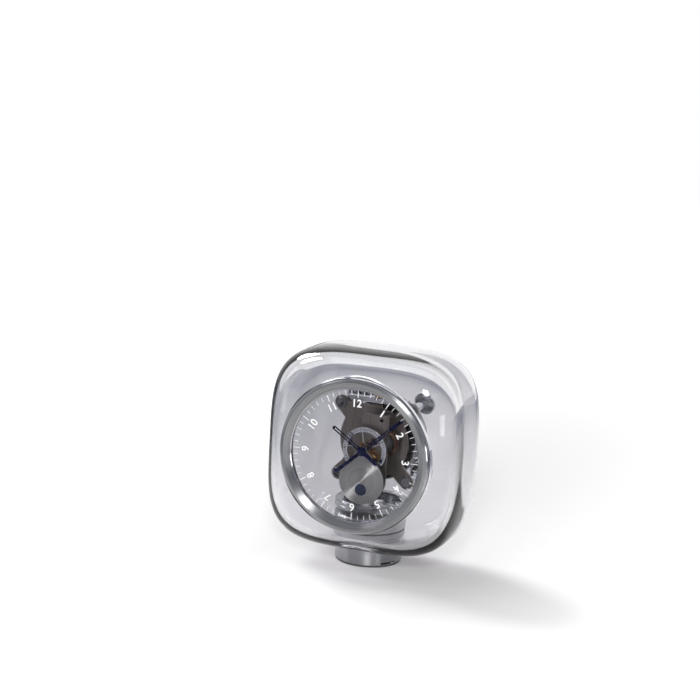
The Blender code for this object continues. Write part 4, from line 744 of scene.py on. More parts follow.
# Train of wheels
trainSizes = {
    # each wheel's teeth, tip radius, depth of teeth, hub radius and width of rim
    "centre": (64, 14.05 * mm, 0.8 * mm, 3.4 * mm, 1.5 * mm),
    "hour": (48, 9.6 * mm, 0.7 * mm, 3.6 * mm, 1.2 * mm),
    "minute": (48, 8.95 * mm, 0.7 * mm, 2.6 * mm, 1.2 * mm),
    "third": (40, 9.05 * mm, 0.7 * mm, 2.6 * mm, 1.2 * mm),
    "wheelThick": 1 * mm, "spokes": 4, "spokeHalf": 0.6 * mm, "centrePinion": 2.6 * mm, "cannon": 2.8 * mm,
    "arbor": 1.6 * mm, "thinArbor": 0.9 * mm, "pipeOuter": 3.1 * mm, "pipeInner": 2 * mm,
    "minutePinion": 2.2 * mm, "thirdPinion": 6.9 * mm, "escapeWheel": 8 * mm, "escapePinion": 4.4 * mm,
    "pinionPast": 0.3 * mm, "greatWheel": 16.8 * mm, "greatThick": 1.6 * mm, "barrelWall": 15.4 * mm,
    "pulley": 8 * mm, "pulleyGroove": 7 * mm, "pulleyBore": 2.4 * mm, "ratchet": 9 * mm,
    "toothEdge": 0.06 * mm, "leafEdge": 0.05 * mm,
}


def wheelShape(kind, bore, low, high, at, turn=0.0):
    s = trainSizes
    teeth, tip, depth, hub, rim = s[kind]
    holes = [ringPoints(bore, 24)] + spokeGaps(hub, tip - depth - rim, s["spokes"], s["spokeHalf"], turn)
    return flatShape(toothedOutline(teeth, tip, depth), holes, low, high, at, s["toothEdge"])


def pinionShape(leaves, tip, low, high, at):
    return flatShape(toothedOutline(leaves, tip, 0.3 * tip), [], low, high, at, trainSizes["leafEdge"])


def thinRod(at, low, high):
    return rodShape(trainSizes["thinArbor"] - slip, at, low, high, towardsBack, 24)


def makeTrain():
    s = trainSizes
    wheelFront = plateFront - 5.8 * mm
    wheelBack = wheelFront + s["wheelThick"]
    barrelFront, barrelBack = frontAndBack("barrel")
    arbor = joinShapes(
        rodShape(s["arbor"] - slip, dialAt, *frontAndBack("centre_arbor"), towardsBack, 32),
        rodShape(2.3 * mm, dialAt, wheelFront - 1.2 * mm, wheelFront, towardsBack, 32),
    )
    roundEdges(arbor, 0.15 * mm)
    addPiece("centreArborSteel", arbor, brightSteel, "minute_arbor", ["centre_arbor"])
    wheel = wheelShape("centre", s["arbor"], wheelFront, wheelBack, dialAt)
    addPiece("centreWheelGilt", wheel, brassDial, "minute_arbor")
    past = s["pinionPast"]
    pinion = pinionShape(14, s["centrePinion"], barrelBack - 1.9 * mm, barrelBack + past, dialAt)
    addPiece("centrePinion", pinion, brightSteel, "minute_arbor")
    hourLow, hourBack = frontAndBack("hour_wheel")
    hourFront, motionBack = hourBack - s["wheelThick"], hourBack + 2.6 * mm
    motionFront = motionBack - s["wheelThick"]
    cannon = pinionShape(16, s["cannon"], motionFront, motionBack, dialAt)
    addPiece("cannonPinion", cannon, brightSteel, "minute_arbor")

    hour = wheelShape("hour", s["pipeInner"], hourFront, hourBack, dialAt, 0.5)
    addPiece("hourWheelGilt", hour, brassDial, "hour_pipe", ["hour_wheel"])
    pipe = tubeShape(s["pipeInner"], s["pipeOuter"], dialAt, hourLow, hourFront, towardsBack, 48, 0.1 * mm)
    addPiece("hourPipe", pipe, brightSteel, "hour_pipe")
    low, high = frontAndBack("minute_wheel")
    minute = wheelShape("minute", s["thinArbor"], motionFront, motionBack, motionAt)
    addPiece("minuteWheelGilt", minute, brassPlain, "motion_wheel", ["minute_wheel"])
    leaves = pinionShape(12, s["minutePinion"], low, motionFront, motionAt)
    leaves = joinShapes(leaves, thinRod(motionAt, motionFront, high))
    addPiece("minutePinion", leaves, brightSteel, "motion_wheel")

    thirdFront = plateFront - 3.2 * mm
    thirdBack = thirdFront + s["wheelThick"]
    low, high = frontAndBack("third_wheel")
    third = wheelShape("third", s["thinArbor"], thirdFront, thirdBack, thirdAt, 0.3)
    addPiece("thirdWheelGilt", third, brassPlain, "third_arbor", ["third_wheel"])
    leaves = pinionShape(32, s["thirdPinion"], wheelFront - past, wheelBack + past, thirdAt)
    leaves = joinShapes(leaves, thinRod(thirdAt, low, high))
    addPiece("thirdPinionSteel", leaves, brightSteel, "third_arbor")

    front = plateBack + 1.1 * mm
    outline = toothedOutline(15, s["escapeWheel"], 1.7 * mm, 0.04)
    holes = [ringPoints(s["thinArbor"], 24)] + spokeGaps(2.2 * mm, 5.2 * mm, 5, 0.45 * mm)
    wheel = flatShape(outline, holes, front, front + 0.8 * mm, escapeAt, s["toothEdge"])
    addPiece("escapeWheelGilt", wheel, brassPlain, "escape_arbor", ["escape_wheel"])
    leaves = pinionShape(20, s["escapePinion"], thirdFront - past, thirdBack + past, escapeAt)
    leaves = joinShapes(leaves, thinRod(escapeAt, thirdBack, highest("escape_wheel").y))
    addPiece("escapePinionSteel", leaves, brightSteel, "escape_arbor")

    # The great wheel, barrel drum and pulley take the gilt brass darkened into painted shade
    greatFront = barrelBack - s["greatThick"]
    outline = toothedOutline(84, s["greatWheel"], 0.8 * mm)
    great = flatShape(outline, [ringPoints(2.4 * mm, 32)], greatFront, barrelBack, barrelAt, s["toothEdge"])
    addPiece("greatWheelGilt", great, brassShaded, "going_barrel", ["barrel"])
    wall = s["barrelWall"]
    inner = wall - 1 * mm
    outline = [(wall, greatFront), (wall, barrelFront), (inner, barrelFront), (inner, greatFront)]
    drum = spunShape(outline, barrelAt, towardsBack, 128, 0.15 * mm)
    addPiece("barrelDrum", drum, brassShaded, "going_barrel")
    coil = coilShape(5.2 * mm, wall - 1.8 * mm, 11, barrelFront + 0.9 * mm, greatFront - 0.3 * mm)
    moveShape(coil, Matrix.Translation(barrelAt))
    addPiece("mainspringCoil", coil, springSteel, "going_barrel", ["mainspring"], even=False)
    outline, holes = toothedOutline(36, s["ratchet"], 0.9 * mm, 0.05), [ringPoints(1.9 * mm, 24)]
    low, high = plateBack + 0.6 * mm, plateBack + 1.8 * mm
    arbor = joinShapes(
        rodShape(1.98 * mm, barrelAt, *frontAndBack("barrel_arbor"), towardsBack, 32),
        flatShape(outline, holes, low, high, barrelAt, s["toothEdge"]),
    )
    addPiece("barrelArborRatchet", arbor, brightSteel, "winding_arbor", ["barrel_arbor"])
    front, back = frontAndBack("winding_pulley")
    bore, radius, groove = s["pulleyBore"], s["pulley"], (s["pulleyGroove"], (front + back) / 2)
    outline = [(bore, back), (radius, back), (radius, back - 0.3 * mm), groove]
    outline += [(radius, front + 0.3 * mm), (radius, front), (bore, front)]
    pulley = spunShape(outline, barrelAt, towardsBack, 64, 0.1 * mm)
    addPiece("windingPulleyGilt", pulley, brassShaded, "pulley", ["winding_pulley"])


# A flat ribbon wound in a spiral, standing on edge along Y
def coilShape(inner, outer, turns, front, back):
    curve = bpy.data.curves.new("ribbon", "CURVE")
    curve.dimensions = "3D"
    curve.bevel_depth = 0.12 * mm
    curve.bevel_resolution = 0
    curve.extrude = (back - front) / 2 - 0.2 * mm
    spline = curve.splines.new("POLY")
    count = turns * 32
    spline.points.add(count)
    for index, point in enumerate(spline.points):
        share = index / count
        radius, angle = inner + (outer - inner) * share, fullTurn * turns * share
        point.co = (radius * math.cos(angle), radius * math.sin(angle), 0, 1)
    shape = takeShape(addObject("ribbon", curve))
    moveShape(shape, Matrix.Rotation(quarter, 4, "X"), Matrix.Translation((0, (front + back) / 2, 0)))
    bmesh.ops.recalc_face_normals(shape, faces=shape.faces)
    return shape


makeTrain()
print("train made")

# Plates, bridge and cock
plateSizes = {
    "disc": 44 * mm, "ear": 9 * mm, "fillet": 11, "tabTop": 46.85 * mm, "tabRight": 7.9 * mm,
    "pillar": 2.4 * mm, "pillarWaist": 1.7 * mm,
    "pillars": [(-13 * mm, -32 * mm), (13 * mm, -32 * mm), (-8 * mm, 23 * mm), (17 * mm, 37 * mm)],
    "bridgeRadius": 25.9 * mm, "bridgeTop": 43.2 * mm, "bridgeLeft": 7.9 * mm, "bridgeCorner": 3 * mm,
    "windows": [(294, 13.65 * mm, 9.4 * mm), (35, 10.15 * mm, 5.9 * mm)], "plateEdge": 0.35 * mm,
    "moonStud": 1.5 * mm, "moonStudSpread": 23.5 * mm, "cockHalf": 2.6 * mm, "cockFoot": 13 * mm,
    "cockThick": 0.8 * mm, "cockDrop": 6 * mm, "palletDrop": 12 * mm, "jewel": 1.9 * mm,
    "jewelBore": 1.05 * mm, "setting": 2.9 * mm, "screwHead": 2.1 * mm, "clickHalf": 1.5 * mm,
    "jewelHole": 2.89 * mm, "centreHole": 2 * mm, "barrelHole": 2.4 * mm, "screwHole": 3.4 * mm,
}


def fromPlate(at):
    return (at.x, at.z - plateAt.z)


def fromDial(at):
    return (at.x, at.z - dialAt.z)


def plateReach(angle):
    s = plateSizes
    earReach = Vector(fromPlate(postAt["upper_right"])).length
    off = (angle % quarter) - math.pi / 4
    across = abs(earReach * math.sin(off))
    if across < s["ear"]:
        reach = earReach * math.cos(off) + math.sqrt(s["ear"] ** 2 - across**2)
    else:
        reach = s["ear"] / abs(math.sin(off))
    reach = min(reach, earReach + s["ear"])
    reach = (s["disc"] ** s["fillet"] + reach ** s["fillet"]) ** (1 / s["fillet"])
    if math.cos(angle) > 0.71:  # the tab under the suspension bridge
        toTop = s["tabTop"] / math.cos(angle)
        if toTop * math.sin(angle) < s["tabRight"]:
            reach = max(reach, toTop)
    return reach


def plateOutline():
    count, points = 360, []
    for index in range(count):
        angle = fullTurn * (index + 0.5) / count
        reach = plateReach(angle)
        points.append((reach * math.sin(angle), reach * math.cos(angle)))
    return points


# A ruby in a gilt ring, let into a plate from front to back
def addJewel(name, at, front, back):
    s = plateSizes
    proud, sunk = 0.08 * mm, 0.3 * mm
    jewel, setting, bore = s["jewel"], s["setting"], s["jewelBore"]
    outline = [(jewel, back + proud), (setting, back + proud), (setting, front - proud)]
    outline += [(jewel + sunk, front - proud), (jewel, front + sunk / 2)]
    ring = spunShape(outline, at, towardsBack, 40, 0.06 * mm)
    addPiece(name + "Setting", ring, brassPlain, "case")
    side = jewel - 0.01 * mm
    outline = [(bore, back - sunk), (side, back - sunk / 2), (side, front + sunk / 2)]
    outline += [(bore + sunk, front + sunk / 2), (bore, front + 1.6 * sunk)]
    addPiece(name + "Stone", spunShape(outline, at, towardsBack, 40), rubyJewel, "case")


# A screw whose round head has a sawn slot
def slottedHead(radius, low, high, at, turn):
    head = rodShape(radius, at, low, high, towardsBack, 36, 0.18 * mm)
    slot = boxShape((3 * radius, 0.9 * (high - low), 2 * 0.3 * mm))
    moveShape(slot, Matrix.Rotation(turn, 4, "Y"), Matrix.Translation((at[0], low, at[2])))
    return applyBooleans(head, [slot])


def makePlates():
    s = plateSizes
    holes = [
        ringPoints(s["centreHole"], 32, fromPlate(dialAt)),
        ringPoints(s["jewelHole"], 40, fromPlate(thirdAt)),
        ringPoints(s["jewelHole"], 40, fromPlate(escapeAt)),
        ringPoints(s["barrelHole"], 32, fromPlate(barrelAt)),
    ]
    for corner in corners:
        holes.append(ringPoints(s["screwHole"], 32, fromPlate(postAt[corner])))
    plate = flatShape(plateOutline(), holes, plateFront, plateBack, plateAt, s["plateEdge"])
    addPiece("mainPlateGrained", plate, plateNickel, "case", ["main_plate"])
    low, high = bridgeBack + 0.05 * mm, plateFront - 0.02 * mm
    thick, waist = s["pillar"], s["pillarWaist"]
    outline = [(0, high), (thick, high), (thick, high - 2 * mm), (waist, high - 3 * mm)]
    outline += [(waist, low + 3 * mm), (thick, low + 2 * mm), (thick, low), (0, low)]
    places = [dialAt + Vector((x, 0, z)) for x, z in s["pillars"]]
    pillars = joinShapes(*[spunShape(outline, at, towardsBack, 32, 0.15 * mm) for at in places])
    addPiece("bridgePillars", pillars, brightSteel, "case")
    addJewel("thirdPlateJewel", thirdAt, plateFront, plateBack)
    addJewel("escapePlateJewel", escapeAt, plateFront, plateBack)
    front, back = frontAndBack("click")
    pivot = Vector((lowest("click").x + s["clickHalf"], 0, lowest("click").z + s["clickHalf"]))
    run = (middle("click") - pivot) * 2
    stud = rodShape(0.75 * mm, pivot, plateBack, back + 0.3 * mm, towardsBack, 24)
    addPiece("clickStud", stud, bluedSteel, "case")
    outline = barOutline((0, 0), (run.x, run.z), s["clickHalf"] - 0.05 * mm)
    click = flatShape(outline, [ringPoints(1.1 * mm, 24)], front, back, pivot, 0.12 * mm)
    addPiece("ratchetClick", click, brightSteel, "ratchet_click", ["click"])


def makeBridge():
    s = plateSizes
    drop = dialAt.z - moonAt.z
    holes = [
        ringPoints(s["centreHole"], 32),
        ringPoints(1.3 * mm, 24, fromDial(motionAt)),
        ringPoints(s["jewelHole"], 40, fromDial(thirdAt)),
        ringPoints(s["barrelHole"], 32, fromDial(barrelAt)),
        ringPoints(1.6 * mm, 24, (0, -drop)),
    ]
    for degrees, reach, radius in s["windows"]:
        turn = math.radians(degrees)
        holes.append(ringPoints(radius, 56, (reach * math.sin(turn), reach * math.cos(turn))))
    radius, corner = s["bridgeRadius"], s["bridgeCorner"]
    level = s["bridgeTop"] - corner
    outline = (
        ringPoints(radius, 24, (0, 0), -quarter, -math.asin(s["bridgeLeft"] / radius))
        + ringPoints(corner, 8, (corner - s["bridgeLeft"], level), -quarter, 0)
        + ringPoints(corner, 8, (radius - corner, level), 0, quarter)
        + ringPoints(radius, 48, (0, -drop), quarter, 3 * quarter)
    )
    bridge = flatShape(outline, holes, bridgeFront, bridgeBack, dialAt, s["plateEdge"])
    addPiece("frontBridgeGrained", bridge, plateNickel, "case", ["front_bridge"])
    addJewel("thirdBridgeJewel", thirdAt, bridgeFront, bridgeBack)
    screws = []
    for x, z in s["pillars"]:
        at, turn = dialAt + Vector((x, 0, z)), 0.5 + 2 * x / mm
        screws.append(slottedHead(s["screwHead"], bridgeFront - 0.7 * mm, bridgeFront, at, turn))
    addPiece("bridgeScrews", joinShapes(*screws), bluedSteel, "case")
    low = highest("moon_plate").y + 0.1 * mm
    places = [moonAt + Vector((side * s["moonStudSpread"], 0, 0)) for side in (-1, 1)]
    studs = [rodShape(s["moonStud"], at, low, bridgeFront, towardsBack, 32, 0.15 * mm) for at in places]
    addPiece("moonPlateStuds", joinShapes(*studs), brightSteel, "case")


def makeEscapement():
    s = plateSizes
    half, drop = s["cockHalf"], s["cockDrop"]
    palletAt = Vector((0, 0, escapeAt.z - s["palletDrop"]))
    back = highest("escapement_cock").y
    front = back - s["cockThick"]
    outline = barOutline((0, -s["palletDrop"]), (0, 0), half, 24)
    holes = [ringPoints(1.3 * mm, 24), ringPoints(1.1 * mm, 24, (0, -s["palletDrop"]))]
    upright = flatShape(outline, holes, front, back, escapeAt)
    outline = barOutline((0, -drop), (s["cockFoot"], -drop), half - 0.05 * mm, 24)
    cock = applyBooleans(upright, [flatShape(outline, [], front, back, escapeAt)], "UNION")
    roundEdges(cock, 0.12 * mm)
    addPiece("escapementCock", cock, plateNickel, "case", ["escapement_cock"])
    at = escapeAt + Vector((s["cockFoot"], 0, -drop))
    post = rodShape(1.95 * mm, at, plateBack + 0.05 * mm, front, towardsBack, 32)
    addPiece("cockPost", post, brightSteel, "case")
    top = back + 0.6 * mm
    screw = slottedHead(1.7 * mm, back, top, at, 0.8)
    # made like the others with its slot in front, then mirrored to face the back
    home = Matrix.Translation(-Vector((at.x, back + top, at.z)))
    moveShape(screw, home, Matrix.Scale(-1, 4, towardsBack), Matrix.Translation((at.x, 0, at.z)))
    bmesh.ops.reverse_faces(screw, faces=screw.faces)
    addPiece("cockScrew", screw, bluedSteel, "case")
    front = plateBack + 1.1 * mm
    holes = [ringPoints(0.6 * mm, 16)]
    lever = flatShape(palletSides(), holes, front, front + s["cockThick"], palletAt, 0.1 * mm)
    addPiece("palletLever", lever, brightSteel, "pallets", ["pallet_lever"])
    pin = rodShape(0.6 * mm, palletAt, plateBack + 0.4 * mm, back, towardsBack, 24)
    addPiece("palletArbor", pin, brightSteel, "pallets")


# Two arms that reach round the escape wheel, and a fork below
def palletSides():
    spread = math.radians(50)
    circle = 8 * mm + 1.6 * mm + 0.7 * mm
    x, z = circle * math.sin(spread), plateSizes["palletDrop"] - circle * math.cos(spread)
    gap, prong, end = 1 * mm, 0.75 * mm, -7.5 * mm
    side = [(0, 1.35 * mm), (x - 0.65 * mm, z + 0.65 * mm), (x + 0.65 * mm, z), (gap + prong, -2.4 * mm)]
    side += [(gap + prong, end), (gap, end), (gap, -4.6 * mm)]
    return side + [(-a, b) for a, b in reversed(side[1:])]


makePlates()
makeBridge()
makeEscapement()
print("plates made")

# Posts with chromed wall cups, plate screws and rear bolts
postSizes = {
    "post": 5 * mm, "waist": 4.3 * mm, "head": 6.9 * mm, "headHigh": 2.6 * mm, "dome": 0.8 * mm,
    "pinHole": 0.95 * mm, "boltPinHole": 1.1 * mm, "pinSpread": 4.4 * mm, "pinDeep": 1.3 * mm,
    "cup": 14.4 * mm, "cupHigh": 6 * mm, "lip": 1.3 * mm, "dishDeep": 4.2 * mm,
    "boltHead": 8.2 * mm, "boltHigh": 2.7 * mm, "boltShank": 3.6 * mm, "shank": 2.9 * mm,
    "screwTurns": {"lower_left": 0.9, "upper_left": -1.2, "lower_right": 0.15, "upper_right": -0.75},
}


def pinHoles(at, radius, low, high, turn):
    reach = postSizes["pinSpread"]
    across = Vector((reach * math.cos(turn), 0, reach * math.sin(turn)))
    return [rodShape(radius, at + side * across, low, high, towardsBack, 20) for side in (-1, 1)]


def makePosts():
    s = postSizes
    for corner in corners:
        at = Vector((postAt[corner].x, 0, postAt[corner].z))
        front, seat, head = plateFront - s["headHigh"], plateFront - 0.3 * mm, s["head"]
        outline = [
            (0, seat), (head, seat), (head, front + s["dome"]), (head - 0.5 * mm, front + 0.25 * s["dome"]),
            (head - s["dome"] - 0.5 * mm, front), (1.2 * mm, front + 0.35 * mm), (0, front + 0.35 * mm),
        ]
        screw = spunShape(outline, at, towardsBack, 64, 0.12 * mm)
        holes = pinHoles(at, s["pinHole"], front - beyond, front + s["pinDeep"], s["screwTurns"][corner])
        screw = applyBooleans(screw, holes)
        name = "plate_screw_" + corner
        addPiece("plateScrew_" + corner, screw, screwSteel, "case", [name])
        shank = rodShape(s["shank"], at, seat, plateBack - 0.1 * mm, towardsBack, 32)
        addPiece("plateScrewShank_" + corner, shank, brightSteel, "case")
        back = highest("post_" + corner).y
        cupFront, lip = back - s["cupHigh"], s["lip"]
        lipMiddle = s["cup"] - lip
        dish = lipMiddle - lip - s["post"]
        outline = [(0, back), (s["cup"], back), (s["cup"], cupFront + lip)]
        shares = [step / 8 for step in range(1, 9)]
        for share in shares:  # round the lip
            angle = math.pi * share
            outline.append((lipMiddle + lip * math.cos(angle), cupFront + lip * (1 - math.sin(angle))))
        for share in shares:  # down into the dish
            deep = (s["dishDeep"] - lip) * math.sin(share * quarter)
            outline.append((s["post"] + dish * (1 - share), cupFront + lip + deep))
        start = plateBack + 0.3 * mm
        outline += [
            (s["post"], start + 6 * mm), (s["waist"], start + 5 * mm), (s["waist"], start + 3.4 * mm),
            (s["post"], start + 2.4 * mm), (s["post"], start), (0, start),
        ]
        post = spunShape(outline, at, towardsBack, 72)
        name = "post_" + corner
        addPiece(name + "_withCup", post, brightSteel, "case", [name])
        front, back = frontAndBack("rear_bolt_" + corner)
        seat, head, shank = back - s["boltHigh"], s["boltHead"], s["boltShank"]
        outline = [
            (0, back - 0.5 * mm), (1.5 * mm, back - 0.5 * mm), (2 * mm, back), (head - 0.9 * mm, back),
            (head, back - 0.9 * mm), (head, seat), (shank, seat), (shank, front), (0, front),
        ]
        bolt = spunShape(outline, at, towardsBack, 56, 0.15 * mm)
        bolt = applyBooleans(bolt, pinHoles(at, s["boltPinHole"], back - s["pinDeep"], back + beyond, 0))
        addPiece("rearBolt_" + corner, bolt, brightSteel, "case", ["rear_bolt_" + corner])


makePosts()
print("posts made")

# Suspension and balance
balanceSizes = {
    "bridgeGroove": 0.7 * mm, "block": 2.4 * mm, "blockHead": 4.6 * mm, "headHigh": 1.8 * mm,
    "indexHalf": 1.3 * mm, "wire": 0.48 * mm, "flange": 19 * mm, "flangeHigh": 3 * mm,
    "boss": 5 * mm, "bossHigh": 14 * mm, "staff": 1.5 * mm, "band": 11 * mm, "web": 1.5 * mm,
    "webHole": 7.5 * mm, "webHoles": 6, "roller": 4 * mm, "rollerThick": 1.2 * mm,
    "rollerPin": 0.6 * mm, "pinReach": 2.8 * mm,
}


def makeSuspension():
    s = balanceSizes
    low, high = lowest("suspension_bridge"), highest("suspension_bridge")
    bar = boxShape(high - low)
    roundEdges(bar, 0.7 * mm, 3)
    moveShape(bar, Matrix.Translation((low + high) / 2))
    groove = boxShape((0.86 * (high.x - low.x), 2 * s["bridgeGroove"], 1.4 * mm))
    moveShape(groove, Matrix.Translation((0, low.y, (low.z + high.z) / 2)))
    bore = rodShape(s["block"] + 0.4 * mm, wireAt, low.z - beyond, high.z + beyond, upwards, 48)
    bar = applyBooleans(bar, [groove, bore])
    addPiece("suspensionBridgeBar", bar, brightSteel, "case", ["suspension_bridge"])
    low, high = footAndTop("suspension_block")
    headLow, radius = high - s["headHigh"], s["block"]
    outline = [(0, headLow), (radius, headLow), (radius, low + 0.6 * mm), (radius - 0.6 * mm, low), (0, low)]
    block = spunShape(outline, wireAt, upwards, 48)
    outline = toothedOutline(40, s["blockHead"], 0.3 * mm, 0.2)
    knurl = flatShape(outline, [], headLow, high, wireAt, 0.08 * mm, level=True)
    block = joinShapes(block, knurl)
    addPiece("suspensionBlock", block, brassPlain, "suspension", ["suspension_block"])
    low, high, half = lowest("regulator_index"), highest("regulator_index"), s["indexHalf"]
    long = high.x - low.x - 2 * half
    outline = ringPoints(half, 16, (0, 0), 0, math.pi) + [(-0.5 * long, -half), (-long, -0.5 * half)]
    outline += [(-long - half, 0), (-long, 0.5 * half), (-0.5 * long, half)]
    index = flatShape(outline, [ringPoints(0.6 * mm, 20)], low.z, high.z, wireAt, 0.12 * mm, level=True)
    addPiece("regulatorIndex", index, bluedSteel, "suspension", ["regulator_index"])
    wire = rodShape(s["wire"], wireAt, *footAndTop("torsion_wire"), upwards, 16)
    addPiece("torsionWire", wire, springSteel, "suspension", ["torsion_wire"])


def makeBalance():
    s = balanceSizes
    staff, boss, flange = s["staff"], s["boss"], s["flange"]
    low, high = footAndTop("balance_hub")
    flangeTop = low + s["flangeHigh"]
    bossTop = flangeTop + s["bossHigh"]
    outline = [
        (0, high), (staff, high), (staff, bossTop + 0.8 * mm), (staff + 0.8 * mm, bossTop),
        (boss - 0.8 * mm, bossTop), (boss, bossTop - 0.8 * mm), (boss, flangeTop + 4 * mm),
        (boss - 0.5 * mm, flangeTop + 3.6 * mm), (boss - 0.5 * mm, flangeTop + 2.8 * mm),
        (boss, flangeTop + 2.4 * mm), (boss, flangeTop), (flange, flangeTop), (flange, low), (0, low),
    ]
    hub = spunShape(outline, wireAt, upwards, 96, 0.2 * mm)
    addPiece("balanceHub", hub, wireSatin, "balance", ["balance_hub"])
    low, high = footAndTop("balance_ring")
    outer = halfWidth("balance_ring")
    inner, webTop, collar = outer - s["band"], low + s["web"], boss + 0.3 * mm
    outline = [
        (collar, low), (outer - 1 * mm, low), (outer, low + 1 * mm), (outer, low + 3.6 * mm),
        (outer - 0.5 * mm, low + 4 * mm), (outer - 0.5 * mm, high - 4 * mm), (outer, high - 3.6 * mm),
        (outer, high - 1 * mm), (outer - 1 * mm, high), (outer - 3.2 * mm, high),
        (outer - 3.7 * mm, high - 0.4 * mm), (outer - 4.2 * mm, high), (inner + 0.8 * mm, high),
        (inner, high - 0.8 * mm), (inner, webTop), (collar, webTop),
    ]
    ring = spunShape(outline, wireAt, upwards, 160, 0.12 * mm)

    def around(radius, offset):
        turns = [fullTurn * (index + offset) / s["webHoles"] for index in range(s["webHoles"])]
        return [wireAt + Vector((radius * math.sin(turn), radius * math.cos(turn), 0)) for turn in turns]

    places = around((inner + boss) / 2, 0)
    tools = [rodShape(s["webHole"], at, low - beyond, webTop + beyond, upwards, 56) for at in places]
    ring = applyBooleans(ring, tools)
    addPiece("balanceRing", ring, wirePolished, "balance", ["balance_ring"])
    outline = [(0, webTop + 0.5 * mm), (0.5 * mm, webTop + 0.9 * mm), (1.5 * mm, webTop + 0.9 * mm)]
    outline += [(1.8 * mm, webTop + 0.6 * mm), (1.8 * mm, webTop), (0, webTop)]
    screws = [spunShape(outline, at, upwards, 28) for at in around(inner - 3 * mm, 0.5)]
    addPiece("balanceWebScrews", joinShapes(*screws), bluedSteel, "balance")
    low, high = footAndTop("impulse_roller")
    top = low + s["rollerThick"]
    roller = tubeShape(staff + 0.05 * mm, s["roller"], wireAt, low, top, upwards, 48, 0.15 * mm)
    addPiece("impulseRoller", roller, brassPlain, "balance", ["impulse_roller"])
    at = wireAt - towardsBack * s["pinReach"]
    pin = rodShape(0.95 * s["rollerPin"], at, top, high, upwards, 20)
    addPiece("impulsePin", pin, rubyJewel, "balance")


makeSuspension()
makeBalance()
print("balance made")

# Rear drum, bellows and winding chain
drumSizes = {
    "wall": 1.5 * mm, "frontWall": 2 * mm, "coverThick": 2.3 * mm, "spigot": 2.4 * mm, "leg": 3 * mm,
    "legs": [(-36 * mm, 12 * mm), (36 * mm, 12 * mm), (-28 * mm, -28 * mm), (28 * mm, -28 * mm)],
    "chainHole": 6 * mm, "ribs": (14 * mm, 30 * mm, 45 * mm), "foldDeep": 6 * mm, "folds": 4,
    "link": 0.85 * mm, "linkWire": 0.24 * mm, "frontReach": 6.6 * mm, "bandDeep": 0.7 * mm,
}


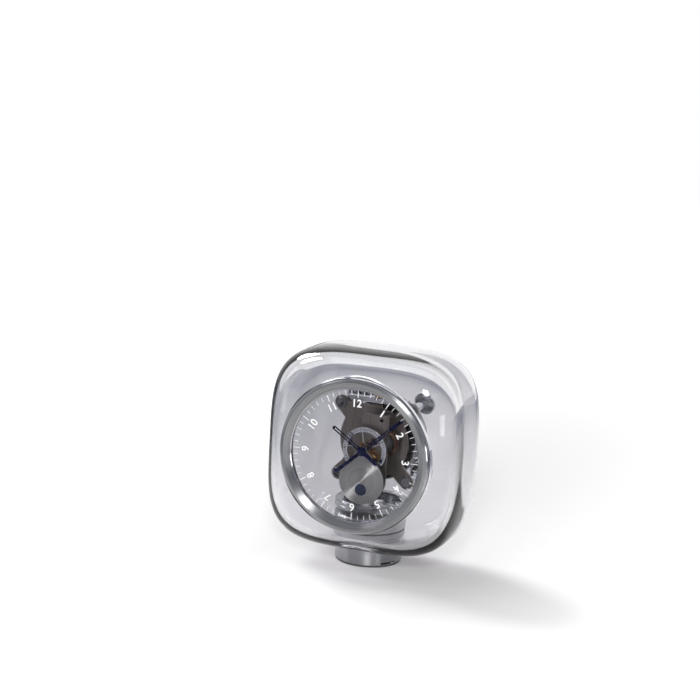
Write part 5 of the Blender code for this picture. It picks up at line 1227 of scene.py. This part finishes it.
def makeDrum():
    s = drumSizes
    radius = halfWidth("bellows_housing")
    rim = highest("bellows_housing").y
    front = lowest("bellows_cap").y - s["frontReach"]
    waist, inside, floor = radius - s["bandDeep"], radius - s["wall"], front + s["frontWall"]
    ribs = s["ribs"]
    outline = [
        (0, front), (ribs[0], front), (ribs[0] + 0.6 * mm, front + 0.7 * mm), (ribs[1], front + 0.7 * mm),
        (ribs[1] + 0.6 * mm, front), (ribs[2], front), (ribs[2] + 0.8 * mm, front + 0.8 * mm),
        (radius - 2.6 * mm, front + 0.8 * mm), (radius - 2 * mm, front), (radius - 0.8 * mm, front),
        (radius, front + 0.8 * mm), (radius, front + 2.2 * mm), (waist, front + 2.8 * mm),
        (waist, front + 8 * mm), (radius, front + 8.6 * mm), (radius, front + 9.8 * mm),
        (waist, front + 10.4 * mm), (waist, front + 16 * mm), (radius, front + 16.6 * mm),
        (radius, rim - 0.5 * mm), (radius - 0.4 * mm, rim), (inside, rim), (inside, floor), (0, floor),
    ]
    shell = spunShape(outline, plateAt, towardsBack, 128)
    low, high = lowest("winding_chain"), highest("winding_chain")
    share = (front - low.y) / (high.y - low.y)
    holeAt = Vector(((low.x + high.x) / 2, 0, low.z + share * (high.z - low.z)))
    hole = rodShape(s["chainHole"], holeAt, front - beyond, floor + beyond, towardsBack, 48)
    shell = applyBooleans(shell, [hole])

    # Painted shade: near-black on the drum's face inside its rim, in its two sunk side bands and through its
    # hollow
    def isDark(point):
        flat = (point - plateAt - towardsBack * point.y).length
        return 1 if flat < radius - (0.4 * mm if point.y > front + 1.2 * mm else 1.6 * mm) else 0

    addPiece("bellowsDrum", shell, [drumSatin, blackShade], "case", ["bellows_housing"], isDark)
    leg, start = s["leg"], plateBack + 0.3 * mm
    waist = leg - 0.7 * mm
    outline = [
        (0, front + 0.2 * mm), (leg, front + 0.2 * mm), (leg, front - 1.5 * mm), (waist, front - 2.2 * mm),
        (waist, plateBack + 2.5 * mm), (leg, plateBack + 1.8 * mm), (leg, start), (0, start),
    ]
    places = [plateAt + Vector((x, 0, z)) for x, z in s["legs"]]
    legs = [spunShape(outline, at, towardsBack, 32, 0.15 * mm) for at in places]
    addPiece("drumLegs", joinShapes(*legs), brightSteel, "case")
    back = highest("bellows_cover").y
    coverFront = back - s["coverThick"]
    inner, spigot, seat = inside - 0.3 * mm, coverFront - s["spigot"] + 0.4 * mm, coverFront + 0.6 * mm
    sunk = back - 0.8 * mm
    outline = [
        (0, spigot), (inner, spigot), (inner, seat), (radius, seat), (radius, sunk),
        (radius - 0.8 * mm, back), (radius - 5 * mm, back), (radius - 5.6 * mm, sunk),
        (0.62 * radius, sunk), (0.6 * radius, back), (0.34 * radius, back), (0.32 * radius, sunk),
        (7 * mm, sunk), (6.4 * mm, back), (0, back),
    ]
    cover = spunShape(outline, plateAt, towardsBack, 128, 0.12 * mm)
    addPiece("bellowsDrumCover", cover, drumSatin, "case", ["bellows_cover"])
    front, back = frontAndBack("bellows_cap")
    radius, sunk = halfWidth("bellows_cap"), front + 0.5 * mm
    outline = [(0, back), (radius, back), (radius, front), (radius - 5 * mm, front)]
    outline += [(radius - 5.6 * mm, sunk), (8 * mm, sunk), (7.4 * mm, front), (0, front)]
    cap = spunShape(outline, plateAt, towardsBack, 96, 0.15 * mm)
    addPiece("bellowsCap", cap, brassPlain, "bellows_end", ["bellows_cap"])
    low, high = frontAndBack("bellows_capsule")
    outer = halfWidth("bellows_capsule")
    steps = 8 * s["folds"]
    folds = [(0, high)]
    for step in range(steps, -1, -1):
        wave = 0.5 - 0.5 * math.cos(fullTurn * s["folds"] * step / steps)
        folds.append((outer - s["foldDeep"] * (1 - wave), low + (high - low) * step / steps))
    folds.append((0, low))
    capsule = spunShape(folds, plateAt, towardsBack, 96)
    piece = addPiece("bellowsCapsule", capsule, brassPlain, None, ["bellows_capsule"])
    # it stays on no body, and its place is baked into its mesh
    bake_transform(piece)


def makeChain():
    s = drumSizes
    low, high = lowest("winding_chain"), highest("winding_chain")
    x, inset = (low.x + high.x) / 2, 0.6 * mm
    start = Vector((x, low.y + inset, low.z + inset))
    run = Vector((x, high.y - inset, high.z - inset)) - start
    wire = s["linkWire"]
    count = int(run.length / (2 * (1.35 * s["link"] - wire)))
    turns = [fullTurn * i / 8 for i in range(8)]
    outline = [(s["link"] - wire + wire * math.cos(turn), wire * math.sin(turn)) for turn in turns]
    aim = run.to_track_quat("X", "Z").to_matrix().to_4x4()
    links = []
    for index in range(count):
        link = spunShape(outline, (0, 0, 0), towardsBack, 20)
        bmesh.ops.scale(link, vec=(1.6, 1, 1), verts=link.verts)
        place = Matrix.Translation(start + run * (index + 0.5) / count)
        moveShape(link, Matrix.Rotation(quarter * (index % 2), 4, "X"), aim, place)
        links.append(link)
    chain, node = joinShapes(*links), "winding_chain"
    piece = addPiece("windingChainLinks", chain, springSteel, "case", [node], even=False)
    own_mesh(piece)


makeDrum()
makeChain()
print("drum made")

# Foot, lock and collar
footSizes = {
    "padEdge": 0.5 * mm, "cavity": 35 * mm, "cavityTop": 7.6 * mm, "foot": 41 * mm, "footTop": 22 * mm,
    "neck": 32.6 * mm, "edge": 0.7 * mm, "stemBore": 5.4 * mm, "slotLow": 3.6 * mm, "slotHigh": 5.9 * mm,
    "slotFrom": 43, "slotTo": 73, "slotReach": 60 * mm, "screwHead": 4 * mm, "screwShank": 2.2 * mm,
    "screwRoom": 0.3 * mm, "socket": 1.8 * mm, "gasketInner": 34.5 * mm, "gasketOuter": 39.5 * mm,
    "grooveLow": 9 * mm, "grooveHigh": 2.6 * mm, "grooveDeep": 2.2 * mm, "cupRecess": 11.4 * mm,
    "recessDeep": 3.5 * mm, "stem": 5 * mm, "cup": 11 * mm, "cupHigh": 3.7 * mm, "leverHub": 8 * mm,
    "leverHalf": 2.2 * mm, "leverThick": 1.6 * mm, "leverHeading": math.radians(66), "cam": 6 * mm,
}
footScrews = ["foot_screw_%d" % number for number in (1, 2, 3)]


def makeFoot():
    s = footSizes
    top, radius, edge = highest("base_pad").z, halfWidth("base_pad"), s["padEdge"]
    inner = radius - edge
    outline = [(0, top), (inner, top), (radius, top - edge), (radius, edge), (inner, 0), (0, 0)]
    pad = spunShape(outline, footAt, upwards, 96, 0.15 * mm)
    addPiece("basePadFelt", pad, greyFelt, "case", ["base_pad"])
    plateLow, plateHigh = footAndTop("base_plate")
    plate = rodShape(halfWidth("base_plate"), footAt, plateLow, plateHigh, upwards, 96, 0.25 * mm)
    addPiece("basePlateSatin", plate, footSatin, "case", ["base_plate"])
    low, high = footAndTop("foot_housing")
    radius, top, edge = halfWidth("foot_housing"), s["footTop"], s["edge"]
    outline = [
        (s["stemBore"], s["cavityTop"]), (s["cavity"], s["cavityTop"]), (s["cavity"], low),
        (radius - edge, low), (radius, low + edge), (radius, top - 1.4 * mm),
        (radius - 0.3 * mm, top - 1.1 * mm), (radius - 0.3 * mm, top - 0.7 * mm), (radius - 1 * mm, top),
        (s["neck"], top), (s["neck"], high), (s["stemBore"], high),
    ]
    foot = spunShape(outline, footAt, upwards, 144, 0.12 * mm)
    reach, sector = s["slotReach"], [(0, 0)]
    for degrees in range(s["slotFrom"], s["slotTo"] + 1, 3):
        sector.append((reach * math.sin(math.radians(degrees)), -reach * math.cos(math.radians(degrees))))
    tools = [flatShape(sector, [], s["slotLow"], s["slotHigh"], footAt, level=True)]
    headHole, shankHole = s["screwHead"] + s["screwRoom"], s["screwShank"] + s["screwRoom"]
    for name in footScrews:
        tools.append(rodShape(headHole, middle(name), plateHigh, lowest(name).z + 3.3 * mm, upwards, 32))
        tools.append(rodShape(shankHole, middle(name), plateHigh, high + beyond, upwards, 24))
    foot = applyBooleans(foot, tools)
    addPiece("footHousingSatin", foot, footSatin, "case", ["foot_housing"])
    low, high = footAndTop("base_gasket")
    gasket = tubeShape(s["gasketInner"], s["gasketOuter"], footAt, low, high, upwards, 96, 0.3 * mm)
    addPiece("baseGasketRubber", gasket, blackRubber, "case", ["base_gasket"])
    shank, head, socket = s["screwShank"], s["screwHead"], s["socket"]
    for name in footScrews:
        low, high = footAndTop(name)
        outline = [
            (0, high), (shank - 0.5 * mm, high), (shank, high - 0.5 * mm), (shank, low + 3 * mm),
            (head, low + 3 * mm), (head, low + 0.4 * mm), (head - 0.4 * mm, low), (socket, low),
            (socket, low + 1.6 * mm), (0, low + 1.6 * mm),
        ]
        screw = spunShape(outline, middle(name), upwards, 36)
        addPiece("footScrew_" + name[-1], screw, brightSteel, "case", [name])


def makeCollar():
    s = footSizes
    low, high = footAndTop("inner_collar")
    radius, bore, recess = halfWidth("inner_collar"), s["stemBore"], s["cupRecess"]
    grooveLow = low + s["grooveLow"]
    grooveTop = grooveLow + s["grooveHigh"]
    deep, recessFloor = radius - s["grooveDeep"], high - s["recessDeep"]
    outline = [
        (bore, low), (radius - 0.6 * mm, low), (radius, low + 0.6 * mm), (radius, grooveLow - 0.4 * mm),
        (radius - 0.4 * mm, grooveLow), (deep, grooveLow), (deep, grooveTop), (radius - 0.4 * mm, grooveTop),
        (radius, grooveTop + 0.4 * mm), (radius, high - 1.2 * mm), (radius - 1.2 * mm, high),
        (radius - 6 * mm, high), (radius - 6.5 * mm, high - 0.5 * mm), (radius - 7 * mm, high),
        (recess + 0.5 * mm, high), (recess, high - 0.5 * mm), (recess, recessFloor), (bore, recessFloor),
    ]
    collar = spunShape(outline, footAt, upwards, 144, 0.12 * mm)
    for vert in collar.verts:  # the recess lies round the wire, not round the foot's middle
        inside = vert.co - footAt
        if Vector((inside.x, inside.y)).length < recess + 0.6 * mm:
            vert.co += wireAt - footAt
    tools = []
    for name in footScrews:
        end = highest(name).z + 0.3 * mm
        tools.append(rodShape(s["screwShank"] + s["screwRoom"], middle(name), low - beyond, end, upwards, 24))
    collar = applyBooleans(collar, tools)

    # Painted shade: the near-black fills the collar's groove
    def isGroove(point):
        inside = Vector((point.x - footAt.x, point.y - footAt.y)).length < radius - 0.5 * mm
        return 1 if grooveLow - 0.1 * mm < point.z < grooveTop + 0.1 * mm and inside else 0

    looks = [footSatin, blackShade]
    addPiece("innerCollarSatin", collar, looks, "case", ["inner_collar"], isGroove)
    low, high = footAndTop("lock_stem")
    cupLow, cup, stem = high - s["cupHigh"], s["cup"], s["stem"]
    outline = [
        (0, high - 1 * mm), (cup - 2.6 * mm, high - 1 * mm), (cup - 1.6 * mm, high), (cup - 0.5 * mm, high),
        (cup, high - 0.5 * mm), (cup, cupLow), (stem, cupLow), (stem, low + 0.5 * mm),
        (stem - 0.5 * mm, low), (0, low),
    ]
    shape = spunShape(outline, wireAt, upwards, 72, 0.1 * mm)
    addPiece("lockStem", shape, wireSatin, "stem", ["lock_stem"])
    low, camTop = footAndTop("lock_lever")
    high, heading, half = low + s["leverThick"], s["leverHeading"], s["leverHalf"]
    rim = Vector((footAt.x + s["foot"] * math.sin(heading), footAt.y - s["foot"] * math.cos(heading)))
    arm = rim - Vector((wireAt.x, wireAt.y))
    arm = arm * (arm.length + 1.55 * mm) / arm.length
    end = arm * (1 - half / arm.length)
    outline = barOutline((0, 0), (end.x, end.y), half - 0.05 * mm, 16)
    lever = flatShape(outline, [], low, high, wireAt, level=True)
    hub = rodShape(s["leverHub"], wireAt, low, high, upwards, 56)
    cam = rodShape(s["cam"], wireAt, low, camTop, upwards, 56)
    lever = applyBooleans(lever, [hub, cam], "UNION")
    roundEdges(lever, 0.2 * mm)
    addPiece("lockLever", lever, brightSteel, "lever", ["lock_lever"])


makeFoot()
makeCollar()
print("foot and lock made")

# Camera, solved from the photograph: dial centre, tick circle radius and turn in radians
view = {
    "target": Vector((0, -63.2 * mm, 144.7 * mm)), "unit": 79 * mm,
    "azimuth": 0.35935, "elevation": 0.17817, "roll": 0.05611, "away": 24.04199,
    "shiftX": 0.07277, "shiftY": -1.58716, "focal": 1600, "side": 700, "sensor": 36,
}


def makeCamera():
    a, e, r = view["azimuth"], view["elevation"], view["roll"]
    right = Vector((math.cos(a), math.sin(a), 0))
    back = Vector((math.sin(a) * math.cos(e), -math.cos(a) * math.cos(e), math.sin(e)))
    up = back.cross(right)
    rolledRight = right * math.cos(r) + up * math.sin(r)
    rolledUp = up * math.cos(r) - right * math.sin(r)
    turn = Matrix((rolledRight, rolledUp, back)).transposed()
    offset = turn @ Vector((view["shiftX"], view["shiftY"], -view["away"]))
    data = bpy.data.cameras.new("photoCamera")
    data.sensor_width = view["sensor"]
    data.lens = view["focal"] * view["sensor"] / view["side"]
    data.clip_end = 50
    camera = addObject("photoCamera", data)
    camera.matrix_world = Matrix.Translation(view["target"] - view["unit"] * offset) @ turn.to_4x4()
    bpy.context.scene.camera = camera


def addLamp(name, at, towards, size, energy, shape="RECTANGLE"):
    data = bpy.data.lights.new(name, "AREA")
    data.shape = shape
    data.size, data.size_y = size
    data.energy = energy
    lamp = addObject(name, data)
    lamp.location = at
    lamp.rotation_euler = (Vector(towards) - Vector(at)).to_track_quat("-Z", "Y").to_euler()


# White paper that mirrors darker from further off, and whose own light grows outwards
def makeStage():
    paper = linear("F4F4F5")
    settings = {"Base Color": paper, "Roughness": 0.6}
    floorPaper, tree, shader, output = startMaterial("floor_paper_white", settings)
    grain = addNode(tree, "ShaderNodeTexNoise", {"Scale": 400}, {"Vector": pointFrom(tree)})
    worn = addNode(tree, "ShaderNodeMapRange", between(0.58, 0.66), {"Value": grain.outputs["Fac"]})
    tree.links.new(worn.outputs["Result"], shader.inputs["Roughness"])
    rays = addNode(tree, "ShaderNodeLightPath").outputs
    sides = {0: rays["Is Transmission Ray"], 1: rays["Is Glossy Ray"]}
    mirrored = addNode(tree, "ShaderNodeMath", {"operation": "MAXIMUM"}, sides)
    place = pointFrom(tree, scale=(3, 1, 1))
    away = addNode(tree, "ShaderNodeVectorMath", {"operation": "LENGTH"}, {0: place}).outputs["Value"]
    far = addNode(tree, "ShaderNodeMapRange", between(0, 1, 0.7, 2.3), {"Value": away})
    sides = {0: mirrored.outputs[0], 1: far.outputs["Result"]}
    dusk = addNode(tree, "ShaderNodeMath", {"operation": "MULTIPLY"}, sides)
    tones = {"data_type": "RGBA", 6: paper, 7: linear("5E6172")}
    toned = addNode(tree, "ShaderNodeMix", tones, {0: dusk.outputs[0]})
    tree.links.new(toned.outputs[2], shader.inputs["Base Color"])
    sides = {0: rays["Is Transmission Ray"], 2: rays["Is Camera Ray"]}
    through = addNode(tree, "ShaderNodeMath", {"operation": "MULTIPLY_ADD", 1: 0.4}, sides)
    near = addNode(tree, "ShaderNodeMapRange", between(0.08, 0.42, 0.4, 1.4), {"Value": away})
    sides = {0: through.outputs[0], 1: near.outputs["Result"]}
    lift = addNode(tree, "ShaderNodeMath", {"operation": "MULTIPLY"}, sides)
    glow = addNode(tree, "ShaderNodeEmission", links={"Strength": lift.outputs[0]})
    whole = addNode(tree, "ShaderNodeAddShader", links={0: shader.outputs[0], 1: glow.outputs[0]})
    tree.links.new(whole.outputs[0], output.inputs["Surface"])
    shape = bmesh.new()
    bmesh.ops.create_grid(shape, x_segments=2, y_segments=2, size=6)
    mesh = meshFrom("paleFloor", shape)
    mesh.materials.append(floorPaper)
    floor = addObject("paleFloor", mesh)
    floor.location.z = -0.05 * mm
    bpy.context.scene.view_settings.view_transform = "Standard"
    addLamp("frontSoftbox", (0.38, -1.19, 0.76), (0, 0, 0.14), (0.22, 0.22), 10, "DISK")
    addLamp("topStrip", (0, -0.15, 1.15), (0, 0, 0.1), (0.9, 0.35), 1.3)
    addLamp("leftStrip", (-1.0, -0.5, 0.35), (0, 0, 0.14), (0.2, 0.9), 1.0)
    addLamp("rightStrip", (0.95, -0.7, 0.1), (0, 0, 0.1), (0.2, 0.3), 0.9)
    data = bpy.data.lights.new("softSun", "SUN")
    data.energy = 2.2
    data.angle = math.radians(22)
    sun = addObject("softSun", data)
    sun.rotation_euler = Vector((-0.75, 0.35, 0.8)).to_track_quat("Z", "Y").to_euler()


# White behind and beside, a darker studio in front and overhead for metal and glass to mirror
def makeWorld():
    world = bpy.data.worlds.new("studio")
    world.use_nodes = True
    tree = world.node_tree
    tree.nodes.clear()
    rays = addNode(tree, "ShaderNodeLightPath").outputs
    place = addNode(tree, "ShaderNodeTexCoord")
    aim = addNode(tree, "ShaderNodeSeparateXYZ", links={"Vector": place.outputs["Generated"]}).outputs
    behind = addNode(tree, "ShaderNodeMapRange", between(0, 1, -0.1, 0.8), {"Value": aim["Y"]})
    overhead = addNode(tree, "ShaderNodeMapRange", between(1, 0.45, 0.35, 0.75), {"Value": aim["Z"]})
    sides = {0: behind.outputs["Result"], 1: overhead.outputs["Result"]}
    level = addNode(tree, "ShaderNodeMath", {"operation": "MULTIPLY"}, sides)
    tones = {"data_type": "RGBA", 6: linear("8E8F99"), 7: linear("C6C7CE")}
    dim = addNode(tree, "ShaderNodeMix", tones, {0: rays["Is Transmission Ray"]})
    tones = {"data_type": "RGBA", 7: linear("FFFFFF")}
    studio = addNode(tree, "ShaderNodeMix", tones, {0: level.outputs["Value"], 6: dim.outputs[2]})
    around = addNode(tree, "ShaderNodeBackground", {"Strength": 1.0}, {"Color": studio.outputs[2]})
    ambient = addNode(tree, "ShaderNodeBackground", {"Color": linear("F6F4F1"), "Strength": 0.2})
    white = addNode(tree, "ShaderNodeBackground", {"Color": (1, 1, 1, 1), "Strength": 1.0})
    sides = {0: rays["Is Glossy Ray"], 1: rays["Is Transmission Ray"]}
    mirrored = addNode(tree, "ShaderNodeMath", {"operation": "MAXIMUM"}, sides)
    sides = {0: mirrored.outputs["Value"], 1: ambient.outputs["Background"], 2: around.outputs["Background"]}
    unseen = addNode(tree, "ShaderNodeMixShader", links=sides)
    sides = {0: rays["Is Camera Ray"], 1: unseen.outputs["Shader"], 2: white.outputs["Background"]}
    mixed = addNode(tree, "ShaderNodeMixShader", links=sides)
    addNode(tree, "ShaderNodeOutputWorld", links={"Surface": mixed.outputs["Shader"]})
    bpy.context.scene.world = world


makeCamera()
makeStage()
makeWorld()
print("camera and studio made")
